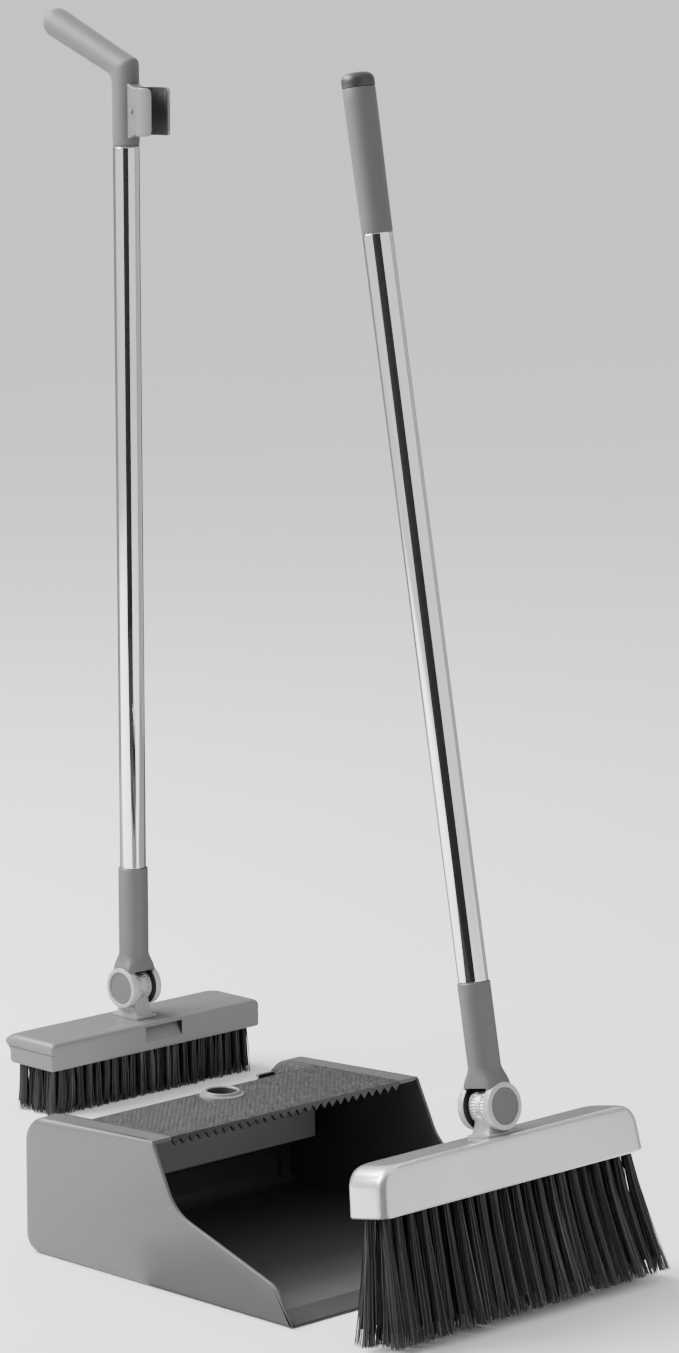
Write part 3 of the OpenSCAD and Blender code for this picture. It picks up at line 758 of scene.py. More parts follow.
# %% Cover
PIP_PITCH = 4.6
PIP_HEIGHT = 0.55
TOOTH_LENGTH = 5.0
TOOTH_COUNT = 28
collar_low, collar_high = extent("handle_socket")
collar_r = (collar_high[0] - collar_low[0]) / 2
collar_y = (collar_high[1] + collar_low[1]) / 2

cover = Skin(PAN)
across = np.linspace(-OPENING, OPENING, 6 * int(2 * OPENING / PIP_PITCH) + 1)
deep = np.linspace(COVER_FRONT, DECK_REAR + 1, 6 * int((DECK_REAR - COVER_FRONT) / PIP_PITCH) + 1)
gx, gy = np.meshgrid(across, deep, indexing="ij")
pips = np.cos(gx * 2 * np.pi / PIP_PITCH) * np.cos((gy - COVER_FRONT) * 2 * np.pi / PIP_PITCH)
pips *= 0.6 + 0.4 * np.cos(gx * 1.93) * np.cos(gy * 1.31)
from_collar = np.hypot(gx, gy - collar_y)
border = np.minimum(OPENING - np.abs(gx), np.minimum(gy - COVER_FRONT, DECK_REAR + 1 - gy))
fade = smooth((border - 3.5) / 2.5) * smooth((from_collar - collar_r - 3) / 3)
top = np.stack([gx, gy, cover_height(gy) + PIP_HEIGHT * fade * np.clip(pips, -0.2, 1)], -1)
under = np.stack([gx, gy, cover_height(gy) - WALL], -1)
keep = np.hypot((gx[:-1, :-1] + gx[1:, 1:]) / 2, (gy[:-1, :-1] + gy[1:, 1:]) / 2 - collar_y) > collar_r - 1.6
cover.sheet(top, under, keep, paint=0, under_paint=1)

# Comb: pointed teeth that hang from the front edge, each a plate with a broken edge
pitch = 2 * OPENING / TOOTH_COUNT
half_tooth = 0.47 * pitch
deck_under = PAN_TOP - WALL
for k in range(TOOTH_COUNT):
    x = -OPENING + (k + 0.5) * pitch
    tooth = rounded([(x - half_tooth, deck_under + 1.2, 0), (x - half_tooth, deck_under, 0.5),
                     (x, deck_under - TOOTH_LENGTH, 0.7),
                     (x + half_tooth, deck_under, 0.5), (x + half_tooth, deck_under + 1.2, 0)], 3)
    rings = plate(tooth, COVER_FRONT + 0.1, COVER_FRONT + WALL, 0.5, 0.3, 3)
    cover.rings(rings[..., [0, 2, 1]])

# Tray: its front wall is the band that shows inside the bin
tray_path = rounded([(DECK_REAR, cover_height(DECK_REAR) - 1, 0), (DECK_REAR, TRAY_LOW, 1.4),
                     (REAR - WALL, TRAY_LOW, 0)], 5)[:-1]
tray_path = np.concatenate([tray_path, [[REAR - WALL, TRAY_LOW]]])
spots = np.linspace(-OPENING, OPENING, 9)
tray_inner = tray_path + path_normals(tray_path) * WALL
# The band's face gets the tray grey, which carries painted light from the front
cover.sheet(swept(tray_path, spots), swept(tray_inner, spots), paint=1, under_paint=0)
for hand in (-1, 1):
    end = rounded([(DECK_REAR, TRAY_LOW, 1.4), (REAR - WALL, TRAY_LOW, 0),
                   (REAR - WALL, cover_height(REAR) - 10, 0), (REAR - 10, cover_height(REAR) - 3, 0),
                   (REAR - TOP_ROUND - 2, cover_height(REAR - TOP_ROUND), 0),
                   (DECK_REAR, cover_height(DECK_REAR), 0)], 5)
    low, high = sorted((hand * OPENING, hand * (OPENING - WALL)))
    cover.rings(along_x(plate(end, low, high, 0.05, 0.05, 1)), 0)
cover.make("pan_cover_shell", "pan", "deck_grey", [DECK, TRAY], ["pan_cover"], 50)

# %% [markdown]
# ## The pan: lip strip and collar
# The soft lip hugs the floor, so it thins out towards the front. The collar is a turned part:
# one profile about an axis gives the flange, the raised ring, the lead-in and the blind bore.

# %% Lip and collar
lip = Skin(PAN)
strip = rounded([(lip_high[1], lip_low[2], 0.2), (lip_high[1], lip_high[2], 0.5),
                 (lip_low[1] + 0.8, lip_low[2] + 0.8, 0.3), (lip_low[1], lip_low[2], 0)], 4)
lip.rings(along_x(plate(strip, lip_low[0], lip_high[0], 0.2, 0.2, 2)))
lip.make("lip_strip", "pan", "soft_lip", [LIP], ["pan_lip"])

collar_top = collar_high[2]
BORE_R = 11.15
BORE_DEPTH = collar_top - collar_low[2] - 2.4
shelf = collar_top - 2.2
socket = Skin(moved(0, collar_y, 0))
profile = [(BORE_R + 2.4, collar_low[2]), (BORE_R + 2.4, collar_top - 8), (collar_r - 0.3, collar_top - 8),
           (collar_r, collar_top - 7.6), (collar_r, shelf - 0.9), (collar_r - 0.3, shelf - 0.25),
           (collar_r - 0.9, shelf), (BORE_R + 3.4, shelf + 0.15), (BORE_R + 2.9, shelf + 0.5),
           (BORE_R + 2.6, collar_top - 0.7), (BORE_R + 2.2, collar_top - 0.15), (BORE_R + 1.7, collar_top),
           (BORE_R + 1.1, collar_top - 0.1), (BORE_R + 0.3, collar_top - 0.9), (BORE_R, collar_top - 1.8),
           (BORE_R, collar_top - BORE_DEPTH)]
socket.rings(lathe(profile, 72), [0] * 13 + [1] * 2)
socket.make("pole_collar", "pan", "mid_grey", [COLLAR, SOCKET_DARK], ["handle_socket"])

# %% [markdown]
# ## Heads
# A head cover is a hollow cap. It is built like a loaf in slices: each level is a rounded
# rectangle with its own length, width and corner radii, and the levels are stacked from the
# open bottom over the top. The brush has a finger slot in its long side. Its slices have extra
# points at the slot's borders, which are pushed in to make a ramp.

# %% Slices
def slice_plan(x0, x1, y0, y1, front_round, rear_round, z, stops=(), steps=6):
    """One level: a rectangle with rounded corners, always with the same number of points.
    stops are extra places along the front side."""
    turn = np.linspace(0, np.pi / 2, steps + 1)
    c, s = np.cos(turn), np.sin(turn)
    f, r = front_round, rear_round
    corners = [
        np.stack([x0 + f - f * c, y0 + f - f * s], -1),
        np.stack([np.array(stops, float), np.full(len(stops), y0)], -1),
        np.stack([x1 - f + f * s, y0 + f - f * c], -1),
        np.stack([x1 - r + r * c, y1 - r + r * s], -1),
        np.stack([x0 + r - r * s, y1 - r + r * c], -1),
    ]
    flat = np.concatenate(corners)
    return np.column_stack([flat, np.full(len(flat), z)])


def round_in(drop, radius):
    """How far a rounded top edge has drawn in, at a drop below the top."""
    return radius - math.sqrt(radius**2 - max(0.0, radius - drop) ** 2)


def quarter(radius, steps=6):
    """(drop, inset) pairs of a rounded top edge, from its foot up to the flat top."""
    turn = np.linspace(0, np.pi / 2, steps + 1)
    return [(radius * (1 - math.sin(t)), radius * (1 - math.cos(t))) for t in turn]


# %% [markdown]
# The brush head is a long cap. Its rear leans out to a ridge, its ends have a fine groove, and
# there is a finger slot in front. A Boolean could cut the slot, but would leave hard edges and
# long thin faces. Pushed-in points keep every quad tidy.

# %% Brush head cover
shell_low, shell_high = extent("brush_shell", BRUSH)
BRUSH_HALF = shell_high[0]
BRUSH_FRONT = shell_low[1]
BRUSH_LOW, BRUSH_TOP = shell_low[2], shell_high[2]
HEAD_WALL = 3.0
SLOT_X0, SLOT_X1 = 7 - 20.5, 7 + 20.5
SLOT_LOW, SLOT_HIGH = BRUSH_LOW + 7.1, BRUSH_TOP - 3.4
SLOT_DEPTH = 8.0
STEP = 0.12
TINY = 1e-6


def brush_rear(z):
    """The rear side leans out to a rounded ridge and back in under the top."""
    ridge = BRUSH_TOP - 8
    heights = [BRUSH_LOW, BRUSH_TOP - 14, BRUSH_TOP - 11, ridge + 0.5, ridge + 3, ridge + 6, BRUSH_TOP]
    depths = [29.0, 29.2, 31.2, 35.4, 34.2, 30.2, 24.5]
    return np.interp(z, heights, depths)


levels = [BRUSH_LOW, BRUSH_LOW + 0.5, BRUSH_LOW + 1.2, BRUSH_LOW + 4, SLOT_LOW - STEP, SLOT_LOW]
levels += list(np.linspace(SLOT_LOW, BRUSH_TOP - 10.6, 4)[1:])
levels += [BRUSH_TOP - 10.5, BRUSH_TOP - 9.5, BRUSH_TOP - 9.4, BRUSH_TOP - 8, BRUSH_TOP - 6.5, BRUSH_TOP - 5]
levels += [SLOT_HIGH, SLOT_HIGH + STEP]
levels += [BRUSH_TOP - 4 * (1 - math.sin(t)) for t in np.linspace(0.25, np.pi / 2, 7)]
stops = [-70, SLOT_X0 - STEP, SLOT_X0, 0, 14, SLOT_X1, SLOT_X1 + STEP, 70]
brush_cover = Skin(BRUSH)
stack = []
for z in sorted(levels):
    drop = BRUSH_TOP - z
    low_edge = max(0.0, 1.2 - (z - BRUSH_LOW)) * 0.6
    end_in, front_in = round_in(drop, 6), round_in(drop, 4)
    groove = 0.8 if 9.45 < drop < 10.55 else 0.0
    inset = end_in + low_edge + groove
    ring = slice_plan(-BRUSH_HALF + inset, BRUSH_HALF - inset, BRUSH_FRONT + front_in + low_edge,
                      brush_rear(z) - low_edge, 2.5, 9.0, z, stops)
    in_slot = ((ring[:, 1] < BRUSH_FRONT + 4) & (ring[:, 0] >= SLOT_X0 - TINY)
               & (ring[:, 0] <= SLOT_X1 + TINY) & (SLOT_LOW - TINY <= z <= SLOT_HIGH + TINY))
    ramp = SLOT_DEPTH * (z - SLOT_LOW) / (SLOT_HIGH - SLOT_LOW)
    ring[in_slot, 1] += ramp
    stack.append(ring)
inside = [(BRUSH_LOW, HEAD_WALL), (BRUSH_LOW + 6, HEAD_WALL)]
for z, wall in inside:
    ring = slice_plan(-BRUSH_HALF + wall, BRUSH_HALF - wall, BRUSH_FRONT + wall, 29 - wall, 1, 3, z, stops)
    stack.insert(0, ring)
stack = np.array(stack)

# The slot's roof and right end lie in deep shade, so these quads are painted near black as painted shade
lower, upper = stack[:-1, :, 2], stack[1:, :, 2]
left, right = stack[:-1, :, 0], np.roll(stack[:-1, :, 0], -1, 1)
front_side = np.minimum(stack[:-1, :, 1], stack[1:, :, 1]) < BRUSH_FRONT + SLOT_DEPTH + 1
roof = (lower >= SLOT_HIGH - TINY) & (upper <= SLOT_HIGH + STEP + TINY)
roof &= (left >= SLOT_X0 - TINY) & (right <= SLOT_X1 + TINY) & (right > left)
end_wall = (left >= SLOT_X1 - TINY) & (right <= SLOT_X1 + STEP + TINY)
end_wall &= (lower >= SLOT_LOW) & (upper <= SLOT_HIGH + STEP)
brush_cover.rings(stack, ((roof | end_wall) & front_side).astype(int))
brush_cover.make("brush_head_cover", "brush_head", "mid_grey", [BRUSH_BODY, PAINTED_SHADE], ["brush_shell"], 30)

# %% [markdown]
# The broom head is lower and softer: its ends come down in a large radius and lean outwards.
# It is the only lacquered piece, and a glossy coat shows every unevenness. So its slices lie at
# even steps of the arc's angle, which keeps the highlight smooth.

# %% Broom head cover
shell_low, shell_high = extent("broom_shell", BROOM)
BROOM_HALF, BROOM_HALF_W = shell_high[0], shell_high[1]
BROOM_LOW, BROOM_TOP = shell_low[2], shell_high[2]
END_ROUND, SIDE_ROUND, PLAN_ROUND = 15.0, 5.0, 8.5
END_SLOPE = 4.0
broom_cover = Skin(BROOM)
stack = []
height = BROOM_TOP - BROOM_LOW
for z in [BROOM_LOW, BROOM_LOW + 0.4, BROOM_LOW + 1.1] + [
        BROOM_TOP - END_ROUND * (1 - math.sin(t)) for t in np.linspace(0.0, np.pi / 2, 15)]:
    drop = BROOM_TOP - z
    low_edge = max(0.0, 1.1 - (z - BROOM_LOW)) * 0.6
    slope = END_SLOPE * (z - BROOM_LOW) / height
    end_in, side_in = round_in(drop, END_ROUND), round_in(drop, SIDE_ROUND)
    stack.append(slice_plan(-BROOM_HALF + slope + end_in + low_edge, BROOM_HALF - slope - end_in - low_edge,
                            -BROOM_HALF_W + side_in + low_edge, BROOM_HALF_W - side_in - low_edge,
                            PLAN_ROUND, PLAN_ROUND, z, (-60, 0, 60)))
for z in (BROOM_LOW, BROOM_LOW + 6):
    stack.insert(0, slice_plan(-BROOM_HALF + HEAD_WALL, BROOM_HALF - HEAD_WALL, -BROOM_HALF_W + HEAD_WALL,
                               BROOM_HALF_W - HEAD_WALL, 3, 3, z, (-60, 0, 60)))
broom_cover.rings(np.array(stack))
broom_cover.make("broom_head_cover", "broom_head", "silver_grey", [SILVER], ["broom_shell"], 30)

# %% [markdown]
# ## Bristles
# Hair particles would be quick, but they leave no mesh behind. So each filament is a thin
# three-sided prism that gets thinner towards its tip, and all filaments of a head are one array. A tuft
# is a bundle that leaves its hole upright and opens towards the tips. A dark core fills each
# tuft, because the eye never sees through it. The random numbers have a fixed seed.

# %% Tufts
def tuft_rows(half_x, half_y, count_x, count_y):
    """Centres of tufts in a staggered grid."""
    x = np.linspace(-half_x, half_x, count_x)
    y = np.linspace(-half_y, half_y, count_y)
    gx, gy = np.meshgrid(x, y, indexing="ij")
    gx = gx + np.where(np.arange(count_y) % 2, 0.25, -0.25) * (x[1] - x[0])
    return np.stack([gx.ravel(), gy.ravel()], -1)


def bristles(skin, centres, each, length, root_r, tip_r, spread, thick, floor_of, rng, stations=5):
    """Filaments from the board down. A filament starts at its tuft's centre plus a random
    place in the tuft's circle, and ends at the centre moved out by spread plus a wider place.
    Between them it follows a smooth curve with a small random bow."""
    n = len(centres) * each
    base = np.repeat(centres, each, 0)
    radial = np.sqrt(rng.random(n))
    angle = rng.random(n) * 2 * np.pi
    disc = np.stack([radial * np.cos(angle), radial * np.sin(angle)], -1)
    clump = np.repeat(rng.normal(0, 0.7, (len(centres), 2)), each, 0)
    start = base + disc * root_r
    end = base * (1 + spread) + disc * tip_r + clump + rng.normal(0, 0.35, (n, 2))
    size = length * (1 - 0.003 * rng.random(n))
    bow = rng.normal(0, 0.5, (n, 2))
    t = np.linspace(0, 1, stations)
    bend = t**1.35
    line = (start[:, None] + (end - start)[:, None] * bend[None, :, None]
            + bow[:, None] * (t * (1 - t) * 4)[None, :, None])
    z = -size[:, None] * t[None]
    points = np.concatenate([line, z[..., None]], -1)
    lift = np.maximum(0, floor_of(points[:, -1]))
    points[..., 2] += lift[:, None] * t[None]
    spin = rng.random(n) * 2 * np.pi
    rim = spin[:, None] + np.arange(3) * 2 * np.pi / 3
    ring = np.stack([np.cos(rim), np.sin(rim), np.zeros((n, 3))], -1)
    girth = thick * (1 - 0.35 * t)
    tube = points[:, :, None] + ring[:, None] * girth[None, :, None, None]
    per = stations * 3
    i, j = np.meshgrid(np.arange(stations - 1), np.arange(3), indexing="ij")
    quad = np.stack([i * 3 + j, i * 3 + (j + 1) % 3, (i + 1) * 3 + (j + 1) % 3, (i + 1) * 3 + j], -1)
    quads = (quad.reshape(1, -1, 4) + (np.arange(n) * per)[:, None, None]).reshape(-1, 4)
    last = per - 3
    lids = np.array([[0, 2, 1], [last, last + 1, last + 2]])
    lids = (lids[None] + (np.arange(n) * per)[:, None, None]).reshape(-1, 3)
    skin.patch(tube, quads.tolist() + lids.tolist())
    shade = np.repeat(np.clip(rng.beta(1.6, 3.2, n), 0, 1), per)
    return shade, np.tile(np.repeat(t, 3), n)


def cores(skin, centres, length, root_r, tip_r, spread, floor_of):
    """A dark eight-sided cone inside each tuft."""
    t = np.array([0.0, 0.5, 0.9])
    angle = np.arange(8) * np.pi / 4
    ring = np.stack([np.cos(angle), np.sin(angle)], -1)
    for centre in centres:
        middle = centre * (1 + spread * t[:, None] ** 1.35)
        r = root_r + (tip_r - root_r) * t
        flat = middle[:, None] + ring[None] * r[:, None, None]
        depth = np.broadcast_to((-length * t)[:, None, None], flat[..., :1].shape)
        points = np.concatenate([flat, depth], -1)
        points[..., 2] += np.maximum(0, floor_of(points[-1]).max()) * t[:, None]
        skin.rings(points, 1)


def finish_tufts(tool_name, skin, shades):
    """Makes the tufts of one tool. The cores come after the filaments and have no shade."""
    values = {key: np.pad(numbers, (0, skin.count - len(numbers)))
              for key, numbers in zip(("strand", "along"), shades)}
    skin.make(f"{tool_name}_tufts", f"{tool_name}_head", "bristle", [FILAMENT, TUFT_ROOT],
              [f"{tool_name}_bristles"], 60, False, values)


print("bristle helpers ready")

# %% [markdown]
# The brush's tufts are short and stand nearly straight, in six rows. Each has a circle of
# filaments that is a little wider at the floor, and all the tips are nearly level.

# %% Brush bristles
rng = np.random.default_rng(7)
board_low, board_high = extent("brush_board", BRUSH)
hair_low, hair_high = extent("brush_bristles", BRUSH)
hair = Skin(BRUSH @ moved(0, 0, board_low[2]))
hair_length = board_low[2] - hair_low[2]
centres = tuft_rows(hair_high[0] - 5.2, hair_high[1] - 3.6, 23, 6)
level_floor = lambda tips: np.full(len(tips), -1.0)
shades = bristles(hair, centres, each=30, length=hair_length, root_r=2.9, tip_r=4.3, spread=0.012,
                  thick=0.36, floor_of=level_floor, rng=rng, stations=4)
cores(hair, centres, hair_length * 0.97, root_r=2.3, tip_r=3.3, spread=0.012, floor_of=level_floor)
finish_tufts("brush", hair, shades)

# %% [markdown]
# The broom's bristles are long and splay out, so each tuft's tip moves away from the middle.
# The tool leans, but its filaments end on the floor: those that would go through it are
# lifted, most at the tip and not at all at the board, as if they were trimmed there.

# %% Broom bristles
board_low, board_high = extent("broom_board", BROOM)
hair_low, hair_high = extent("broom_bristles", BROOM)
hair = Skin(BROOM @ moved(0, 0, board_low[2]))
hair_length = board_low[2] - hair_low[2] - 0.4
board_half_x, board_half_y = board_high[0], board_high[1]
centres = tuft_rows(board_half_x - 7.0, board_half_y - 4.6, 22, 4)
spread = np.array([(hair_high[0] - 5.4) / (board_half_x - 5.0),
                   (hair_high[1] - 5.2) / (board_half_y - 4.6)]) - 1
tool = hair.place


def broom_floor(tips):
    """How far each tip is under the floor, so that it can be cut off there."""
    world_z = tips @ tool[2, :3] + tool[2, 3]
    return (0.4 - world_z) / math.cos(broom_lean)


shades = bristles(hair, centres, each=44, length=hair_length, root_r=2.9, tip_r=6.0, spread=spread,
                  thick=0.42, floor_of=broom_floor, rng=rng, stations=5)
cores(hair, centres, hair_length * 0.97, root_r=2.3, tip_r=4.0, spread=spread, floor_of=broom_floor)
finish_tufts("broom", hair, shades)

# %% [markdown]
# ## Joints
# Both tools share one joint. A knuckle stands on the head: a wide foot, a neck with a hollow
# curve and a barrel with fine ratchet teeth. A fork holds it between two round cheeks, and
# flows up into the sleeve. The teeth are a radius that goes up and down with the angle.

# %% Knuckles
BARREL_HALF, BARREL_TEETH = 8.8, 36
FOOT_HALF_X, FOOT_HALF_Y = 11.75, 16.0


def knuckle(name, place, node, body):
    """Foot and neck as stacked slices, and a toothed barrel as rings along X."""
    low, high = extent(node, place)
    barrel_r = high[2]
    foot = low[2]
    skin = Skin(place)
    stack = []
    for t in np.concatenate([[0, 0.02, 0.1, 0.115, 0.12], np.linspace(0.14, 1, 14)]):
        z = foot + (-5 - foot) * t
        edge = 0.4 if t in (0, 0.115) else 0.0
        plinth = t < 0.118
        half_y = FOOT_HALF_Y - edge if plinth else 9.5 + 5.2 * (1 - t) ** 2.2
        half_x = FOOT_HALF_X - edge if plinth else BARREL_HALF - 0.25 + 2.4 * (1 - t) ** 4
        stack.append(slice_plan(-half_x, half_x, -half_y, half_y, 2.4, 2.4, z))
    skin.rings(np.array(stack))
    angle = np.linspace(0, 2 * np.pi, 216, endpoint=False)
    teeth = 0.5 - 0.5 * np.cos(angle * BARREL_TEETH)
    rings = []
    half = np.array([(1.0, 0.9, 0), (0.985, 0.45, 0), (0.95, 0.1, 0), (0.90, 0, 0), (0.80, 0, 0),
                     (0.78, 0.1, 0.55), (0.3, 0.1, 0.55), (0.28, 0, 0)])
    for x, edge, depth in np.concatenate([half * (-1, 1, 1), half[::-1]]):
        r = barrel_r - edge - depth * teeth
        x_here = np.full_like(angle, x * BARREL_HALF)
        rings.append(np.stack([x_here, r * np.cos(angle), r * np.sin(angle)], -1))
    skin.rings(np.array(rings), 1)
    return skin.make(name, body, "light_grey", [KNUCKLE, RATCHET], [node], 35)


knuckle("brush_knuckle_ratchet", BRUSH, "brush_knuckle", "brush_head")
knuckle("broom_knuckle_ratchet", BROOM_JOINT, "broom_knuckle", "broom_head")

# %% [markdown]
# The fork is the part that the eye follows from pole to head. Its sleeve is round, and just
# above the joint it gets wider and squarer to meet the two cheeks. A superellipse does that with
# a single number: power 2 is a circle, and a larger power is nearly a rectangle.

# %% Forks
CHEEK_IN, CHEEK_OUT, CHEEK_R = 9.9, 16.0, 17.3
CAP_R, CAP_SINK = 13.3, 1.6
WEB = 14.6
ARM_POWER = 4.5


def oval(half_x, half_y, power, z, steps=64):
    """A superellipse: a circle at power 2, and nearly a rectangle at power 8."""
    angle = np.linspace(0, 2 * np.pi, steps, endpoint=False)
    c, s = np.cos(angle), np.sin(angle)
    x = half_x * np.sign(c) * np.abs(c) ** (2 / power)
    y = half_y * np.sign(s) * np.abs(s) ** (2 / power)
    return np.stack([x, y, np.full_like(x, z)], -1)


def fork(name, place, body, sleeve_r, sleeve_top, pole_r, node):
    """Two round cheeks, two arms between them and the web, and a round sleeve. The sleeve's
    slices get wider and squarer just above the web, to meet the faces of the cheeks."""
    skin = Skin(place)
    shoulder = WEB + 15.0

    def flared(z):
        flare = 1 - smooth((z - WEB) / (shoulder - WEB))
        return oval(sleeve_r + (CHEEK_OUT - 0.3 - sleeve_r) * flare**1.5, sleeve_r, 2 + 2.5 * flare, z)

    stack = [flared(WEB) * (0.97, 0.97, 1)]
    stack += [flared(z) for z in np.linspace(WEB, shoulder, 14)]
    stack += [oval(sleeve_r, sleeve_r, 2, z) for z in np.linspace(shoulder, sleeve_top - 1.2, 6)[1:]]
    stack += [oval(sleeve_r - i, sleeve_r - i, 2, sleeve_top - d) for d, i in quarter(1.2, 4)[1:]]
    stack += [oval(pole_r - 0.4, pole_r - 0.4, 2, z) for z in (sleeve_top, sleeve_top - 4)]
    # The web's underside is painted near black: painted shade in the gap above the barrel
    skin.rings(np.array(stack), [1] + [0] * (len(stack) - 2))

    # Arms: behind the caps they stay inside the cheeks
    y = sleeve_r * 0.985 * np.sin(np.linspace(-np.pi / 2, np.pi / 2, 25))
    shape = (CHEEK_OUT - 0.35) * (1 - np.abs(y / sleeve_r) ** ARM_POWER) ** (1 / ARM_POWER)
    for hand in (-1, 1):
        stack = []
        for z in np.linspace(11.0, WEB + 0.5, 8):
            behind_cap = np.minimum(shape, CHEEK_OUT - CAP_SINK - 0.1)
            outside = np.where(np.hypot(y, z) < CAP_R + 1.2, behind_cap, shape)
            x = np.concatenate([np.maximum(outside, CHEEK_IN + 0.3), np.full(25, CHEEK_IN + 0.05)])
            stack.append(np.stack([hand * x, np.concatenate([y, y[::-1]]), np.full(50, z)], -1))
        skin.rings(np.array(stack))
        width = CHEEK_OUT - CHEEK_IN
        profile = [(4.0, 0.0), (CHEEK_R - 0.6, 0.0), (CHEEK_R - 0.15, 0.15), (CHEEK_R, 0.6)]
        profile += [(CHEEK_R - 1.3 * (1 - math.sin(t)), width - 1.3 * (1 - math.cos(t)))
                    for t in np.linspace(np.pi / 2, 0, 6)]
        profile += [(CAP_R + 0.5, width), (CAP_R + 0.12, width - 0.35), (CAP_R + 0.08, width - CAP_SINK),
                    (4.0, width - CAP_SINK)]
        # Each cheek's inner face, towards the barrel, is painted near black: painted shade in the gap
        skin.rings(lathe_x(profile, 72, hand, CHEEK_IN), [1] + [2] * (len(profile) - 1), joined=True)
    return skin.make(name, body, "mid_grey", [FORK, PAINTED_SHADE, CHEEK_RING], [node], 40)


pole_low, pole_high = extent("brush_pole", BRUSH)
POLE_R = (pole_high[0] - pole_low[0]) / 2
BROOM_SLEEVE_TOP = extent("broom_pole", BROOM)[0][2]
fork("brush_fork_sleeve", BRUSH, "brush_handle", POLE_R + 1.5, pole_low[2], POLE_R, "brush_fork")
fork("broom_fork_sleeve", BROOM_JOINT, "broom_handle", POLE_R + 1.0, BROOM_SLEEVE_TOP, POLE_R, "broom_fork")

# %% [markdown]
# The caps are let into the cheeks. A cap is a turned disc with a broken edge and a shallow
# dish, so that the light ring round it and its own matt face read as two parts.

# %% Pivot caps
def pivot_cap(name, place, hand, body, node):
    """A dished disc, turned about the pivot axis."""
    base, face = CHEEK_OUT - CAP_SINK, CHEEK_OUT - 0.4
    profile = [(0.01, base), (CAP_R, base), (CAP_R, face - 0.5), (CAP_R - 0.2, face - 0.15),
               (CAP_R - 0.6, face), (CAP_R - 1.4, face - 0.05), (CAP_R - 1.8, face - 0.3),
               (CAP_R * 0.5, face - 0.36), (0.01, face - 0.38)]
    skin = Skin(place)
    skin.rings(lathe_x(profile, 72, hand))
    return skin.make(name, body, "cap_grey", [DISC_CAP], [node], 30)


for tool, place, sides in (("brush", BRUSH, ("left", "right")), ("broom", BROOM_JOINT, ("front", "rear"))):
    for hand, side_name in zip((-1, 1), sides):
        pivot_cap(f"{tool}_cap_{side_name}", place, hand, f"{tool}_handle", f"{tool}_{side_name}_cap")

# %% [markdown]
# ## Poles
# A mirror shows every facet, so the tubes have many sides, and their ends are rolled in a
# little where they meet the plastic.

# %% Pole tubes
def tube(name, place, node, body, finish):
    """A thin-walled tube with rolled ends."""
    low, high = extent(node, place)
    r, z0, z1 = (high[0] - low[0]) / 2, low[2], high[2]
    profile = [(r - 1, z0 + 0.4), (r - 0.8, z0), (r - 0.5, z0), (r - 0.1, z0 + 0.3), (r, z0 + 0.8),
               (r, (z0 + z1) / 2), (r, z1 - 0.8), (r - 0.1, z1 - 0.3), (r - 0.5, z1), (r - 0.8, z1),
               (r - 1, z1 - 0.4)]
    skin = Skin(place)
    skin.rings(lathe(profile, 128), joined=True)
    return skin.make(name, body, "pole_chrome", [finish], [node], 50)


tube("brush_tube_polished", BRUSH, "brush_pole", "brush_handle", BRUSH_TUBE)
tube("broom_tube_polished", BROOM, "broom_pole", "broom_handle", BROOM_TUBE)

# %% [markdown]
# ## Grips
# The elbow grip bends sharply on its outside and softly on its inside. A swept circle can't do
# that. So the slices of the bend all turn about one point beside the inner corner: their near
# side stays on a circle round it, and their far side runs out to the two straight outer sides,
# which meet at a corner with a small radius. The broom's grip is a plain taper with a
# dark domed plug.

# %% Elbow grip
pole_low, pole_high = extent("brush_pole", BRUSH)
grip_high = extent("brush_grip", BRUSH)[1]
GRIP_R = POLE_R + 0.3
TIP_R = GRIP_R + 1.1
ELBOW_UP = 64.0
ELBOW_RUN = (grip_high[1] - TIP_R) / math.cos(math.radians(22.6)) + TIP_R
RISE = math.radians(22.6)
TURN = math.pi / 2 - RISE
INNER_ROUND = 12.0
OUTER_ROUND = 4.0
base = pole_high[2]
elbow = np.array([0.0, base + ELBOW_UP])
slope = np.array([math.cos(RISE), math.sin(RISE)])

# The inner corner's circle touches the inner sides of both legs
inner_corner = elbow + np.array([GRIP_R, 0]) - np.array([0, GRIP_R * (1 - math.sin(RISE)) / math.cos(RISE)])
centre = inner_corner + np.array([INNER_ROUND, -INNER_ROUND * math.tan(TURN / 2)])
grip = Skin(BRUSH)


def grip_ring(near, far, half_x, steps=56):
    """An oval slice between two points (y, z), half_x wide across them."""
    angle = np.linspace(0, 2 * np.pi, steps, endpoint=False)
    near, far = np.array(near), np.array(far)
    flat = (near + far) / 2 + np.cos(angle)[:, None] * (near - far) / 2
    return np.column_stack([half_x * np.sin(angle), flat])


stack = [grip_ring((POLE_R - 1.2, base - 3), (-POLE_R + 1.2, base - 3), POLE_R - 1.2),
         grip_ring((POLE_R - 1.2, base), (-POLE_R + 1.2, base), POLE_R - 1.2)]
for drop, inset in quarter(0.9, 4)[::-1]:
    r = GRIP_R - drop
    stack.append(grip_ring((r, base + inset), (-r, base + inset), r))
for z in np.linspace(base + 4, centre[1] - 1, 8):
    stack.append(grip_ring((GRIP_R, z), (-GRIP_R, z), GRIP_R))
far_side = INNER_ROUND + 2 * GRIP_R
arc_far = (far_side - OUTER_ROUND) / math.cos(TURN / 2)
arc_edge = TURN / 2 - math.atan(arc_far * math.sin(TURN / 2) / far_side)
for turn in TURN * (0.5 + 0.5 * np.linspace(-1, 1, 41) * (0.35 + 0.65 * np.linspace(-1, 1, 41) ** 2)):
    off = abs(turn - TURN / 2)
    if off < arc_edge:
        reach_out = arc_far * math.cos(off) + math.sqrt(OUTER_ROUND**2 - (arc_far * math.sin(off)) ** 2)
    else:
        reach_out = far_side / math.cos(TURN / 2 - off)
    ray = np.array([-math.cos(turn), math.sin(turn)])
    stack.append(grip_ring(centre + ray * INNER_ROUND, centre + ray * reach_out, GRIP_R))
